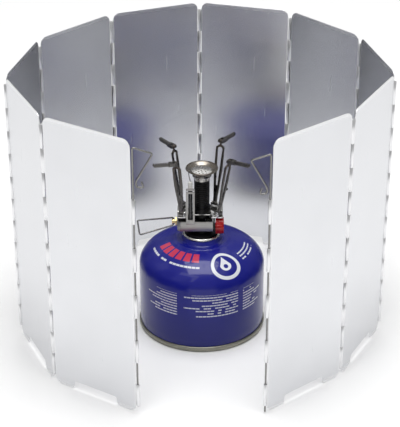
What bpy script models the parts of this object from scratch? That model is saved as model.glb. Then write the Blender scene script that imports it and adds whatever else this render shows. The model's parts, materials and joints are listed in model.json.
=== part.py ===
"""Camping stove set: a gas cartridge, a screw-on burner and a folding ten-plate windscreen.

Metres, +Z up. The origin is on the ground, midway along both sides of the standing windscreen.
The windscreen's front opening faces -Y. The stove stands on its own axis inside it.
"""

import math

import bmesh
import bpy
from mathutils import Matrix, Vector

# Windscreen plates and their wire hinges
PLATE_HEIGHT = 0.240
PLATE_PITCH = 0.084  # from one hinge axis to the next
PLATE_THICKNESS = 0.0005
PLATE_CORNER = 0.0065
NOTCH_WIDTH = 0.044
NOTCH_HEIGHT = 0.0075
NOTCH_TAPER = 0.0012
HINGE_TURNS = (32.7, 37.9, 30.6, 25.1, 36.9, 32.3, 28.4, 41.9, 22.4)  # degrees, as it stands
BACK_PLATE = 5  # the plate that the others fold from, counted from 0 at the left end
BACK_HEADING = -15.7
KNUCKLES = 11
KNUCKLE_RADIUS = 0.0016
KNUCKLE_BORE = 0.00105
WIRE_RADIUS = 0.00075
EDGE_GAP = 0.0003  # between one plate and the knuckles of the next
KNUCKLE_SIDES = 6

# Ground pegs
PEG_TIP = 0.0004
PEG_STAND = 0.0045  # of the loop above the knuckle below it, with the peg down
PEG_REACH = 0.0148
PEG_LOOP = 0.0328
PEG_DROP = 0.0050  # of the loop's bar towards the opening
LEFT_PEG_LIFT = 0.0056  # the left peg stands drawn up by this much

# The stove's axis, and the gas cartridge
STOVE_X = 0.0011
STOVE_Y = -0.0049
CAN_RADIUS = 0.0535
CAN_WALL_TOP = 0.0580
CAN_DOME = 0.0260
CAN_SHEET = 0.0006
SEAM_PROUD = 0.0015  # of the seam beyond the wall
SEAM_HEIGHT = 0.0044
CUP_RADIUS = 0.0163
CUP_TOP = 0.0880
CUP_DEPTH = 0.0064
CUP_SHEET = 0.0006
NIPPLE_RADIUS = 0.0055
NIPPLE_WALL = 0.0009
NIPPLE_RISE = 0.0012  # above the cup's rim
REST_GAP = 0.0003  # between faces that touch
RUN_GAP = 0.0003  # around what turns or slides

# Burner base, bracket and valve
COLLAR_INSET = 0.0023  # of the flange inside the cup's rim
COLLAR_FLANGE = 0.0011
COLLAR_HUB = 0.0083
COLLAR_HUB_RISE = 0.0038
BRACKET_LEFT = -0.0210
BRACKET_RIGHT = 0.0094
BRACKET_FRONT = -0.0110
BRACKET_BACK = 0.0080
BRACKET_SHEET = 0.0008
BRACKET_HEIGHT = 0.0091
VALVE_STEM_RADIUS = 0.0036
VALVE_SHOULDER_RADIUS = 0.0076
VALVE_NECK_RADIUS = 0.0050
VALVE_SHOULDER_HEIGHT = 0.0028
VALVE_NECK_HEIGHT = 0.0070
VALVE_AXIS_RISE = 0.0040  # of the spindle above the bracket's underside
GAS_BORE = 0.0009
SPINDLE_RADIUS = 0.0017
SPINDLE_HEAD_RADIUS = 0.0022
SPINDLE_HEAD_LENGTH = 0.0026
PACKING_WALL = 0.0009
NUT_RADIUS = 0.0042
NUT_LENGTH = 0.0014
HANDLE_WIRE = 0.0007
HANDLE_LENGTH = 0.0320
HANDLE_NEAR = 0.0036
HANDLE_FAR = 0.0071
HANDLE_SLANT = 0.0018  # of its far leg
HANDLE_DROP = 0.0009  # of its far leg below the spindle
HANDLE_SWING = 18.5  # degrees towards the front

# Mixing tube and burner head
TUBE_RADIUS = 0.0066
TUBE_BORE = 0.0053
TUBE_FOOT_HEIGHT = 0.0050
TUBE_LENGTH = 0.0300
TUBE_RIB_PITCH = 0.0042
TUBE_RIB_DEPTH = 0.0006
AIR_HOLE = 0.0017
NECK_RADIUS = 0.0081
NECK_HEIGHT = 0.0046
HEAD_RADIUS = 0.0137
HEAD_FOOT_RADIUS = 0.0078
HEAD_HEIGHT = 0.0061
HEAD_WALL = 0.0009
FLAME_HOLE = 0.0008
FLAME_SHEET = 0.0006

# Pot supports
CARRIER_SHEET = 0.0010
CARRIER_MARGIN = 0.0015  # beyond the arm pivots, front and back
PIVOT_RISE = 0.0027  # of the arm pivots above the carrier
ARM_LENGTH_RISE = 0.0520  # from the arm's pivot up to the foot's pivot
ARM_WIDTH = 0.0074  # at its widest, near the top
ARM_THICKNESS = 0.0014
ARM_SLOT_WIDTH = 0.0040  # at the top; it narrows downwards
ARM_SLOT_FOOT_WIDTH = 0.0016
ARM_SLOT_START = 0.0170
EYE_RADIUS = 0.0017
EYE_BORE = 0.00085
EYE_LENGTH = 0.0040
TIP_EYE_LENGTH = 0.0024
PIN_RADIUS = 0.0006
CHEEK_THICKNESS = 0.0010
FOOT_LENGTH = 0.0195
FOOT_THICKNESS = 0.0022
FOOT_HEIGHT = 0.0032
FOOT_TEETH = 7
TOOTH_DEPTH = 0.0009
FORK_CHEEK = 0.0008
# name: pivot x, y and tip x, y from the stove's axis, and the foot's direction in degrees
ARMS = {
    "rear_left": ((-0.0168, 0.0080), (-0.0239, 0.0130), 127.0),
    "front_left": ((-0.0173, -0.0085), (-0.0213, -0.0203), -170.0),
    "rear_right": ((0.0112, 0.0095), (0.0163, 0.0236), 52.0),
    "front_right": ((0.0145, -0.0085), (0.0224, -0.0154), -28.0),
}

# Igniter
FRAME_X = -0.0097
FRAME_WIDTH = 0.0074
FRAME_SHEET = 0.0008
FRAME_TOP = 0.1345
FRAME_OVERLAP = 0.0021  # of the frame over the bracket's front
FRAME_SLOT_WIDTH = 0.0042
CERAMIC_RADIUS = 0.0019
CERAMIC_TOP = 0.1400
ELECTRODE_RADIUS = 0.0004
PIEZO_RADIUS = 0.0030
PIEZO_Y = -0.0069
PIEZO_COLLAR_RADIUS = 0.0065
PIEZO_COLLAR_LENGTH = 0.0014
BUTTON_RADIUS = 0.0073
BUTTON_WALL = 0.0005
BUTTON_LENGTH = 0.0071
BUTTON_TRAVEL = 0.0016
BUTTON_AXIS_RISE = 0.0040  # above the bracket's underside

UP = Vector((0, 0, 1))
TURN_UPRIGHT = Matrix.Rotation(math.pi / 2, 4, "X")  # from the XY plane to the XZ plane

# Radii and heights that follow from the sizes above
SEAM_RADIUS = CAN_RADIUS + SEAM_PROUD
COLLAR_RADIUS = CUP_RADIUS - COLLAR_INSET
CUP_FLOOR = CUP_TOP - CUP_DEPTH
NIPPLE_TOP = CUP_TOP + NIPPLE_RISE
COLLAR_BASE = CUP_TOP + REST_GAP
HUB_TOP = COLLAR_BASE + COLLAR_FLANGE + COLLAR_HUB_RISE
BRACKET_BASE = HUB_TOP + REST_GAP
BRACKET_TOP = BRACKET_BASE + BRACKET_HEIGHT
SPINDLE_Z = BRACKET_BASE + VALVE_AXIS_RISE
SHOULDER_BASE = BRACKET_TOP + 0.0006
CARRIER_BASE = SHOULDER_BASE + VALVE_SHOULDER_HEIGHT + REST_GAP
CARRIER_TOP = CARRIER_BASE + CARRIER_SHEET
NECK_OF_VALVE_TOP = SHOULDER_BASE + VALVE_SHOULDER_HEIGHT + VALVE_NECK_HEIGHT
TUBE_BASE = CARRIER_TOP + REST_GAP
TUBE_TOP = TUBE_BASE + TUBE_LENGTH
NECK_BASE = TUBE_TOP + REST_GAP
HEAD_BASE = NECK_BASE + NECK_HEIGHT + REST_GAP
HEAD_TOP = HEAD_BASE + HEAD_HEIGHT
PIVOT_Z = CARRIER_TOP + PIVOT_RISE
TIP_Z = PIVOT_Z + ARM_LENGTH_RISE
BUTTON_Z = BRACKET_BASE + BUTTON_AXIS_RISE


# ---------------------------------------------------------------- scene and materials


def clear_scene():
    for obj in list(bpy.data.objects):
        bpy.data.objects.remove(obj)


def new_collection(name):
    collection = bpy.data.collections.new(name)
    bpy.context.scene.collection.children.link(collection)
    return collection


def new_material(name, colour, roughness, metallic):
    material = bpy.data.materials.new(name)
    material.use_nodes = True
    shader = material.node_tree.nodes["Principled BSDF"]
    shader.inputs["Base Color"].default_value = (*colour, 1)
    shader.inputs["Roughness"].default_value = roughness
    shader.inputs["Metallic"].default_value = metallic
    material.diffuse_color = (*colour, 1)
    return material


def place(name, data, material, parent, location=(0, 0, 0), turn=0.0):
    """An object of the set, turned by a number of degrees about its own Z."""
    data.materials.clear()
    data.materials.append(material)
    obj = bpy.data.objects.new(name, data)
    obj.parent = parent
    obj.location = location
    obj.rotation_euler = (0, 0, math.radians(turn))
    PARTS.objects.link(obj)
    return obj


# ---------------------------------------------------------------- shapes


def evaluated_mesh(obj):
    """The object's mesh with its modifiers applied, its seams welded and its faces out."""
    bpy.context.scene.collection.objects.link(obj)
    graph = bpy.context.evaluated_depsgraph_get()
    mesh = bpy.data.meshes.new_from_object(obj.evaluated_get(graph))
    bpy.data.objects.remove(obj)
    shape = bmesh.new()
    shape.from_mesh(mesh)
    bmesh.ops.remove_doubles(shape, verts=shape.verts, dist=1e-6)
    bmesh.ops.recalc_face_normals(shape, faces=shape.faces)
    shape.to_mesh(mesh)
    shape.free()
    mesh.shade_smooth()
    mesh.set_sharp_from_angle(angle=math.radians(35))
    return mesh


def turned(profile, steps=24, closed=True, wall=0.0):
    """A shape turned about Z from (radius, height) points, solid or with a wall inside it."""
    corners = [(radius, 0, height) for radius, height in profile]
    edges = [(i, i + 1) for i in range(len(corners) - 1)]
    if closed:
        edges.append((len(corners) - 1, 0))
    mesh = bpy.data.meshes.new("profile")
    mesh.from_pydata(corners, edges, [])
    obj = bpy.data.objects.new("turned", mesh)
    screw = obj.modifiers.new("Screw", "SCREW")
    screw.steps = screw.render_steps = steps
    screw.use_merge_vertices = True
    screw.merge_threshold = 1e-5
    if wall:
        solidify = obj.modifiers.new("Solidify", "SOLIDIFY")
        solidify.thickness = wall
        solidify.offset = -1
        solidify.use_even_offset = True
    return evaluated_mesh(obj)


def flat(outlines, thickness, placing=Matrix()):
    """A flat piece about the XY plane: an outline and any holes, then moved by a matrix."""
    curve = bpy.data.curves.new("outline", "CURVE")
    curve.dimensions = "2D"
    curve.fill_mode = "BOTH"
    curve.extrude = thickness / 2
    for outline in outlines:
        spline = curve.splines.new("POLY")
        spline.points.add(len(outline) - 1)
        for point, (x, y) in zip(spline.points, outline):
            point.co = (x, y, 0, 1)
        spline.use_cyclic_u = True
    mesh = evaluated_mesh(bpy.data.objects.new("outline", curve))
    shape = bmesh.new()
    shape.from_mesh(mesh)
    bmesh.ops.dissolve_limit(shape, angle_limit=0.01, verts=shape.verts, edges=shape.edges)
    shape.to_mesh(mesh)
    shape.free()
    mesh.transform(placing)
    return mesh


def round_bar(start, end, radius, sides=8):
    """A cylinder from one point to another."""
    start, end = Vector(start), Vector(end)
    along = end - start
    turn = along.to_track_quat("Z", "Y").to_matrix().to_4x4()
    placing = Matrix.Translation((start + end) / 2) @ turn
    shape = bmesh.new()
    bmesh.ops.create_cone(
        shape, cap_ends=True, segments=sides, radius1=radius, radius2=radius,
        depth=along.length, matrix=placing,
    )
    mesh = bpy.data.meshes.new("bar")
    shape.to_mesh(mesh)
    shape.free()
    return mesh


def block(low, high):
    """A box between two corners."""
    low, high = Vector(low), Vector(high)
    placing = Matrix.Translation((low + high) / 2) @ Matrix.Diagonal((*(high - low), 1))
    shape = bmesh.new()
    bmesh.ops.create_cube(shape, size=1, matrix=placing)
    mesh = bpy.data.meshes.new("block")
    shape.to_mesh(mesh)
    shape.free()
    return mesh


def gathered(meshes):
    """Several separate closed shapes as one mesh."""
    shape = bmesh.new()
    for mesh in meshes:
        shape.from_mesh(mesh)
    gathered_mesh = bpy.data.meshes.new("gathered")
    shape.to_mesh(gathered_mesh)
    shape.free()
    return gathered_mesh


def built(base, joins=(), cuts=()):
    """The base with shapes joined to it, and then others cut from it."""
    obj = bpy.data.objects.new("built", base)
    tools = []
    for operation, meshes in (("UNION", joins), ("DIFFERENCE", cuts)):
        for mesh in meshes:
            tool = bpy.data.objects.new("tool", mesh)
            tool.hide_render = True
            tool.display_type = "WIRE"
            TOOLS.objects.link(tool)
            tools.append(tool)
            step = obj.modifiers.new(operation, "BOOLEAN")
            step.operation = operation
            step.solver = "EXACT"
            step.object = tool
    mesh = evaluated_mesh(obj)
    for tool in tools:
        bpy.data.objects.remove(tool)
    return mesh


def wire(points, radius):
    """A bent wire along points, as a curve with closed ends."""
    curve = bpy.data.curves.new("wire", "CURVE")
    curve.dimensions = "3D"
    curve.bevel_depth = radius
    curve.bevel_resolution = 2
    curve.use_fill_caps = True
    spline = curve.splines.new("POLY")
    spline.points.add(len(points) - 1)
    for point, spot in zip(spline.points, points):
        point.co = (*spot, 1)
    return curve


def rounded(points, radius, steps=3):
    """A path with each inner corner replaced by a short arc that starts a radius before it."""
    points = [Vector(p) for p in points]
    path = [points[0]]
    for before, corner, after in zip(points, points[1:], points[2:]):
        start = corner + (before - corner).normalized() * radius
        end = corner + (after - corner).normalized() * radius
        for i in range(steps + 1):
            t = i / steps
            path.append((1 - t) ** 2 * start + 2 * t * (1 - t) * corner + t**2 * end)
    path.append(points[-1])
    return path


def arc(centre, radius, start, end, steps):
    """Points along an arc, in degrees."""
    for i in range(steps + 1):
        angle = math.radians(start + (end - start) * i / steps)
        yield (centre[0] + radius * math.cos(angle), centre[1] + radius * math.sin(angle))


# ---------------------------------------------------------------- windscreen


HINGE_BASE = PLATE_CORNER + EDGE_GAP
KNUCKLE_PITCH = (PLATE_HEIGHT - 2 * HINGE_BASE) / KNUCKLES


def knuckle_span(index):
    """The lowest and highest point of one knuckle, counted up from the ground."""
    low = HINGE_BASE + index * KNUCKLE_PITCH
    return low + EDGE_GAP / 2, low + KNUCKLE_PITCH - EDGE_GAP / 2


def plate_outline(left, right):
    """The sheet between two hinge axes, with a tab for each knuckle, as (across, up) points."""
    edge = KNUCKLE_RADIUS + EDGE_GAP
    tab = (KNUCKLE_RADIUS + KNUCKLE_BORE) / 2
    far = PLATE_PITCH - edge
    corner = PLATE_CORNER
    points = list(arc((edge + corner, corner), corner, 270, 180, 2))
    for index in left:
        low, high = knuckle_span(index)
        low, high = low + EDGE_GAP, high - EDGE_GAP
        points += [(edge, low), (tab, low), (tab, high), (edge, high)]
    points += arc((edge + corner, PLATE_HEIGHT - corner), corner, 180, 90, 2)
    points += arc((far - corner, PLATE_HEIGHT - corner), corner, 90, 0, 2)
    for index in reversed(right):
        low, high = knuckle_span(index)
        low, high = low + 2 * EDGE_GAP, high - 2 * EDGE_GAP
        points += [(far, high), (PLATE_PITCH - tab, high), (PLATE_PITCH - tab, low), (far, low)]
    points += arc((far - corner, corner), corner, 0, -90, 2)
    middle = PLATE_PITCH / 2
    half = NOTCH_WIDTH / 2
    points += [(middle + half, 0), (middle + half - NOTCH_TAPER, NOTCH_HEIGHT)]
    points += [(middle - half + NOTCH_TAPER, NOTCH_HEIGHT), (middle - half, 0)]
    return points


def plate_mesh(left, right, first_axis):
    """A plate whose left hinge axis is at first_axis along X."""
    barrels = []
    for across, indices in ((0, left), (PLATE_PITCH, right)):
        spans = [knuckle_span(index) for index in indices]
        barrels.append(gathered([
            round_bar((across, 0, low), (across, 0, high), KNUCKLE_RADIUS, KNUCKLE_SIDES)
            for low, high in spans
        ]))
    bores = [
        round_bar((across, 0, 0), (across, 0, PLATE_HEIGHT), KNUCKLE_BORE, KNUCKLE_SIDES)
        for across in (0, PLATE_PITCH)
    ]
    sheet = flat([plate_outline(left, right)], PLATE_THICKNESS, TURN_UPRIGHT)
    mesh = built(sheet, barrels, bores)
    mesh.transform(Matrix.Translation((first_axis, 0, 0)))
    return mesh


def plate_headings():
    """The direction of each plate in degrees, from its left hinge to its right one."""
    headings = [BACK_HEADING] * 10
    for plate in range(BACK_PLATE + 1, 10):
        headings[plate] = headings[plate - 1] - HINGE_TURNS[plate - 1]
    for plate in range(BACK_PLATE - 1, -1, -1):
        headings[plate] = headings[plate + 1] + HINGE_TURNS[plate]
    return headings


def hinge_axes():
    """The eleven hinge and edge axes on the ground, centred on the origin along X and Y."""
    axes = [Vector((0, 0, 0))]
    for heading in plate_headings():
        angle = math.radians(heading)
        axes.append(axes[-1] + PLATE_PITCH * Vector((math.cos(angle), math.sin(angle), 0)))
    middle = Vector(
        [(min(axis[i] for axis in axes) + max(axis[i] for axis in axes)) / 2 for i in range(3)]
    )
    return [axis - middle for axis in axes]


def peg_path():
    """A ground peg: straight up, a bar towards the opening, back down and a small closing curl."""
    foot = knuckle_span(KNUCKLES - 3)[1] + PEG_STAND
    top = foot + PEG_LOOP
    corners = [
        (0, 0, PEG_TIP),
        (0, 0, top),
        (PEG_REACH, 0, top - PEG_DROP),
        (0.0021, 0, foot + 0.0048),
        (0.0026, 0, foot + 0.0006),
        (0.0078, 0, foot),
        (0.0063, 0, foot + 0.0052),
    ]
    return rounded(corners, 0.0012, 2)


def make_windscreen(steel, sheet):
    """Plates hung on each other from the back plate outwards, with their hinge wires and pegs."""
    evens = list(range(0, KNUCKLES, 2))
    odds = list(range(1, KNUCKLES, 2))
    free = evens[:-1]
    axes = hinge_axes()
    headings = plate_headings()
    meshes = {
        "left_end": plate_mesh(free, odds, -PLATE_PITCH),
        "left": plate_mesh(evens, odds, -PLATE_PITCH),
        "right": plate_mesh(evens, odds, 0),
        "right_end": plate_mesh(evens, free, 0),
    }
    low = HINGE_BASE
    hinge_wire = round_bar((0, 0, low), (0, 0, PLATE_HEIGHT - low), WIRE_RADIUS)
    plates = {}
    plates[BACK_PLATE] = place(
        "windscreen_plate_06", meshes["right"], sheet, None, axes[BACK_PLATE], BACK_HEADING
    )
    for plate in range(BACK_PLATE + 1, 10):
        kind = "right_end" if plate == 9 else "right"
        turn = -HINGE_TURNS[plate - 1]
        spot = (PLATE_PITCH, 0, 0)
        name = f"windscreen_plate_{plate + 1:02d}"
        plates[plate] = place(name, meshes[kind], sheet, plates[plate - 1], spot, turn)
        place(f"hinge_wire_{plate}", hinge_wire, steel, plates[plate - 1], spot)
    for plate in range(BACK_PLATE - 1, -1, -1):
        kind = "left_end" if plate == 0 else "left"
        turn = HINGE_TURNS[plate]
        spot = (0, 0, 0) if plate == BACK_PLATE - 1 else (-PLATE_PITCH, 0, 0)
        name = f"windscreen_plate_{plate + 1:02d}"
        plates[plate] = place(name, meshes[kind], sheet, plates[plate + 1], spot, turn)
        place(f"hinge_wire_{plate + 1}", hinge_wire, steel, plates[plate + 1], spot)
    peg = wire(peg_path(), WIRE_RADIUS)
    place("ground_peg_left", peg, steel, plates[0], (-PLATE_PITCH, 0, LEFT_PEG_LIFT), -headings[0])
    place("ground_peg_right", peg, steel, plates[9], (PLATE_PITCH, 0, 0), 180 - headings[9])


# ---------------------------------------------------------------- gas cartridge


def make_cartridge(stove, blue, tin, steel, black):
    last = math.acos((CUP_RADIUS + 0.0006) / CAN_RADIUS)
    dome = [
        (CAN_RADIUS * math.cos(last * i / 6), CAN_WALL_TOP + CAN_DOME * math.sin(last * i / 6))
        for i in range(7)
    ]
    neck = [(CUP_RADIUS - 0.0005, CUP_TOP - 0.0030), (CUP_RADIUS - 0.0013, CUP_TOP - 0.0024)]
    body = list(reversed(neck)) + list(reversed(dome)) + [(CAN_RADIUS, SEAM_HEIGHT + REST_GAP)]
    place("cartridge_body", turned(body, 24, False, CAN_SHEET), blue, stove)

    seam = SEAM_RADIUS
    base = [
        (0, 0.0128), (0.36 * seam, 0.0122), (0.72 * seam, 0.0096), (seam - 0.0046, 0.0052),
        (seam - 0.0025, SEAM_HEIGHT), (seam - 0.0006, SEAM_HEIGHT), (seam, SEAM_HEIGHT - 0.0006),
        (seam, 0.0008), (seam - 0.0007, 0), (seam - 0.0024, 0), (seam - 0.0032, 0.0008),
        (seam - 0.0044, 0.0038), (0.72 * seam, 0.0088), (0.36 * seam, 0.0114), (0, 0.0120),
    ]
    place("cartridge_base", turned(base, 24, False), tin, stove)

    inner = NIPPLE_RADIUS - NIPPLE_WALL
    wall = CUP_RADIUS - 0.0027
    lip = GAS_BORE + 0.0015
    cup = [
        (CUP_RADIUS, CUP_TOP - 0.0006), (CUP_RADIUS, CUP_TOP - 0.0020),
        (wall + CUP_SHEET, CUP_TOP - 0.0020),
        (wall + CUP_SHEET, CUP_FLOOR - CUP_SHEET), (inner, CUP_FLOOR - CUP_SHEET),
        (inner, NIPPLE_TOP - NIPPLE_WALL), (lip, NIPPLE_TOP - NIPPLE_WALL), (lip, NIPPLE_TOP),
        (NIPPLE_RADIUS - 0.0006, NIPPLE_TOP), (NIPPLE_RADIUS, NIPPLE_TOP - 0.0006),
        (NIPPLE_RADIUS, CUP_FLOOR), (wall, CUP_FLOOR), (wall, CUP_TOP - 0.0006),
        (wall + 0.0007, CUP_TOP), (CUP_RADIUS - 0.0007, CUP_TOP),
    ]
    place("valve_cup", turned(cup), tin, stove)

    ceiling = NIPPLE_TOP - NIPPLE_WALL
    gasket_low = ceiling - REST_GAP - 0.0009
    gasket = [
        (inner - RUN_GAP, ceiling - REST_GAP), (inner - RUN_GAP, gasket_low),
        (lip, gasket_low), (lip, ceiling - REST_GAP),
    ]
    place("valve_gasket", turned(gasket, 16), black, stove)
    flange = gasket_low - REST_GAP
    stem = [
        (0, NIPPLE_TOP), (lip - RUN_GAP, NIPPLE_TOP), (lip - RUN_GAP, flange),
        (inner - RUN_GAP, flange), (inner - RUN_GAP, flange - 0.0007), (0, flange - 0.0007),
    ]
    place("valve_stem", turned(stem, 16, False), steel, stove)
    seat_top = CUP_FLOOR - CUP_SHEET + 0.0006
    seat = [
        (inner - RUN_GAP, seat_top), (inner - RUN_GAP, seat_top - 0.0006),
        (0.0012, seat_top - 0.0006), (0.0012, seat_top),
    ]
    place("valve_spring_seat", turned(seat, 16), tin, stove)
    thread = 0.0003
    coil_radius = inner - RUN_GAP - 0.0006
    low = seat_top + REST_GAP + thread
    high = flange - 0.0007 - REST_GAP - thread
    turns = 3
    steps = 8 * turns
    coil = [
        (
            coil_radius * math.cos(math.tau * turns * i / steps),
            coil_radius * math.sin(math.tau * turns * i / steps),
            low + (high - low) * i / steps,
        )
        for i in range(steps + 1)
    ]
    spring = wire(coil, thread)
    spring.bevel_resolution = 0
    place("valve_spring", spring, steel, stove)


# ---------------------------------------------------------------- burner


def make_base(stove, black, rubber, steel):
    bore = NIPPLE_RADIUS + RUN_GAP
    ceiling = NIPPLE_TOP + 0.0018
    flange_top = COLLAR_BASE + COLLAR_FLANGE
    skirt = CUP_RADIUS - 0.0027 - 2 * RUN_GAP
    skirt_low = CUP_FLOOR + 0.0030
    collar = [
        (COLLAR_HUB, HUB_TOP), (COLLAR_HUB, flange_top), (COLLAR_RADIUS, flange_top),
        (COLLAR_RADIUS, COLLAR_BASE), (skirt, COLLAR_BASE), (skirt, skirt_low), (bore, skirt_low),
        (bore, ceiling), (GAS_BORE, ceiling), (GAS_BORE, HUB_TOP),
    ]
    place("base_collar", turned(collar), black, stove)
    ring = list(arc((NIPPLE_RADIUS - 0.0012, (NIPPLE_TOP + ceiling) / 2), 0.0006, 0, 300, 5))
    place("seal_ring", turned(ring, 16), rubber, stove)

    low = BRACKET_BASE
    sheet = BRACKET_SHEET
    section = [
        (BRACKET_FRONT, BRACKET_TOP), (BRACKET_FRONT, low),
        (BRACKET_BACK, low), (BRACKET_BACK, BRACKET_TOP),
        (BRACKET_BACK - sheet, BRACKET_TOP), (BRACKET_BACK - sheet, low + sheet),
        (BRACKET_FRONT + sheet, low + sheet), (BRACKET_FRONT + sheet, BRACKET_TOP),
    ]
    middle = (BRACKET_LEFT + BRACKET_RIGHT) / 2
    turn = Matrix(((0, 0, 1, 0), (1, 0, 0, 0), (0, 1, 0, 0), (0, 0, 0, 1)))  # from XY to YZ
    along_x = Matrix.Translation((middle, 0, 0)) @ turn
    channel = flat([section], BRACKET_RIGHT - BRACKET_LEFT, along_x)
    hole = round_bar((0, 0, low - 0.001), (0, 0, low + 0.002), VALVE_STEM_RADIUS + RUN_GAP, 16)
    place("bracket", built(channel, (), [hole]), steel, stove)


def make_valve(stove, black, brass, steel):
    shoulder_top = SHOULDER_BASE + VALVE_SHOULDER_HEIGHT
    body = turned([
        (VALVE_NECK_RADIUS, NECK_OF_VALVE_TOP), (VALVE_NECK_RADIUS, shoulder_top),
        (VALVE_SHOULDER_RADIUS, shoulder_top), (VALVE_SHOULDER_RADIUS, SHOULDER_BASE),
        (VALVE_STEM_RADIUS, SHOULDER_BASE), (VALVE_STEM_RADIUS, BRACKET_BASE),
        (GAS_BORE, BRACKET_BASE), (GAS_BORE, NECK_OF_VALVE_TOP),
    ], 16)
    bore = SPINDLE_RADIUS + RUN_GAP
    gland_end = BRACKET_LEFT + 0.0002
    bore_end = -GAS_BORE - 0.0012
    gland = round_bar((bore_end, 0, SPINDLE_Z), (gland_end, 0, SPINDLE_Z), bore + PACKING_WALL, 12)
    drilled = round_bar((bore_end, 0, SPINDLE_Z), (gland_end - 0.001, 0, SPINDLE_Z), bore, 12)
    place("valve_body", built(body, [gland], [drilled]), black, stove)

    nut_right = BRACKET_LEFT - REST_GAP
    nut_left = nut_right - NUT_LENGTH
    nut = round_bar((nut_right, 0, SPINDLE_Z), (nut_left, 0, SPINDLE_Z), NUT_RADIUS, 6)
    nut_bore = round_bar((nut_right + 0.001, 0, SPINDLE_Z), (nut_left - 0.001, 0, SPINDLE_Z), bore, 12)
    place("packing_nut", built(nut, (), [nut_bore]), brass, stove)

    head_right = nut_left - RUN_GAP
    head_left = head_right - SPINDLE_HEAD_LENGTH
    pivot_x = (head_right + head_left) / 2
    axis = place_empty("valve_axis", stove, (pivot_x, 0, SPINDLE_Z))
    rod = round_bar((bore_end - RUN_GAP - pivot_x, 0, 0), (0, 0, 0), SPINDLE_RADIUS, 12)
    head = round_bar((head_right - pivot_x, 0, 0), (head_left - pivot_x, 0, 0), SPINDLE_HEAD_RADIUS, 12)
    hole = round_bar((0, 0, -0.004), (0, 0, 0.004), HANDLE_WIRE + RUN_GAP, 8)
    place("valve_spindle", built(rod, [head], [hole]), brass, axis)
    path = rounded([
        (0, 0, 0.0005), (0, 0, HANDLE_NEAR), (-HANDLE_LENGTH, 0, HANDLE_FAR - HANDLE_DROP),
        (HANDLE_SLANT - HANDLE_LENGTH, 0, -HANDLE_FAR - HANDLE_DROP),
        (0, 0, -HANDLE_NEAR), (0, 0, -0.0005),
    ], 0.0013, 2)
    place("valve_handle", wire(path, HANDLE_WIRE), steel, axis, (0, 0, 0), HANDLE_SWING)

    jet = [
        (0.0012, NECK_OF_VALVE_TOP + 0.0030), (0.0020, NECK_OF_VALVE_TOP + 0.0012),
        (0.0020, NECK_OF_VALVE_TOP + REST_GAP), (0.0005, NECK_OF_VALVE_TOP + REST_GAP),
        (0.0005, NECK_OF_VALVE_TOP + 0.0030),
    ]
    place("gas_jet", turned(jet, 12), brass, stove)


def place_empty(name, parent, location):
    empty = bpy.data.objects.new(name, None)
    empty.parent = parent
    empty.location = location
    PARTS.objects.link(empty)
    return empty


def make_mixing_tube(stove, black):
    foot_top = TUBE_BASE + TUBE_FOOT_HEIGHT
    profile = [(TUBE_RADIUS, TUBE_TOP)]
    ribs = int((TUBE_TOP - foot_top) / TUBE_RIB_PITCH)
    for rib in range(ribs):
        z = TUBE_TOP - (rib + 0.6) * TUBE_RIB_PITCH
        groove = TUBE_RADIUS - TUBE_RIB_DEPTH
        profile += [(TUBE_RADIUS, z), (groove, z - 0.0002)]
        profile += [(groove, z - 0.0010), (TUBE_RADIUS, z - 0.0012)]
    profile += [
        (TUBE_RADIUS, foot_top), (VALVE_SHOULDER_RADIUS, foot_top),
        (VALVE_SHOULDER_RADIUS, TUBE_BASE),
        (TUBE_BORE, TUBE_BASE), (TUBE_BORE, TUBE_TOP),
    ]
    air_z = NECK_OF_VALVE_TOP + 0.0026
    reach = 2 * TUBE_RADIUS
    holes = round_bar((-reach, 0, air_z), (reach, 0, air_z), AIR_HOLE)
    place("mixing_tube", built(turned(profile, 12), (), [holes]), black, stove)


def make_head(stove, steel):
    """The neck, the dish on it and the perforated plate inside."""
    step = NECK_BASE + 0.0026
    neck = [
        (NECK_RADIUS, NECK_BASE + NECK_HEIGHT), (NECK_RADIUS, step + 0.0006),
        (TUBE_RADIUS + 0.0002, step), (TUBE_RADIUS + 0.0002, NECK_BASE),
        (TUBE_BORE, NECK_BASE), (TUBE_BORE, NECK_BASE + NECK_HEIGHT),
    ]
    place("neck_collar", turned(neck, 20), steel, stove)

    wall = HEAD_WALL
    floor = HEAD_BASE + 0.0006
    waist = HEAD_RADIUS - 0.0034
    inside = waist - wall
    head = [
        (HEAD_RADIUS - 0.0004, HEAD_TOP), (HEAD_RADIUS, HEAD_TOP - 0.0005),
        (HEAD_RADIUS, HEAD_TOP - 0.0012), (waist, HEAD_TOP - 0.0030),
        (HEAD_FOOT_RADIUS, floor), (HEAD_FOOT_RADIUS, HEAD_BASE),
        (TUBE_BORE, HEAD_BASE), (TUBE_BORE, floor + wall), (HEAD_FOOT_RADIUS - wall, floor + wall),
        (inside, HEAD_TOP - 0.0027), (HEAD_RADIUS - wall, HEAD_TOP - 0.0008),
        (HEAD_RADIUS - wall, HEAD_TOP),
    ]
    place("burner_head", turned(head, 24), steel, stove)
    plate_z = HEAD_TOP - 0.0025
    disc = round_bar((0, 0, plate_z), (0, 0, plate_z + FLAME_SHEET), inside - REST_GAP, 24)
    holes = []
    for count, radius in ((12, 0.0074), (6, 0.0038)):
        for i in range(count):
            angle = math.tau * i / count
            x, y = radius * math.cos(angle), radius * math.sin(angle)
            holes.append(round_bar((x, y, plate_z - 0.001), (x, y, plate_z + 0.0016), FLAME_HOLE, 6))
    place("flame_plate", built(disc, (), [gathered(holes)]), steel, stove)


# ---------------------------------------------------------------- pot supports


def arm_axes(pivot, tip):
    """An arm's pivot point, width direction, lean direction and length."""
    start = Vector((*pivot, PIVOT_Z))
    end = Vector((*tip, TIP_Z))
    along = end - start
    lean = Vector((along.x, along.y, 0)).normalized()
    width = UP.cross(lean)
    return start, width, lean, along


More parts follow.
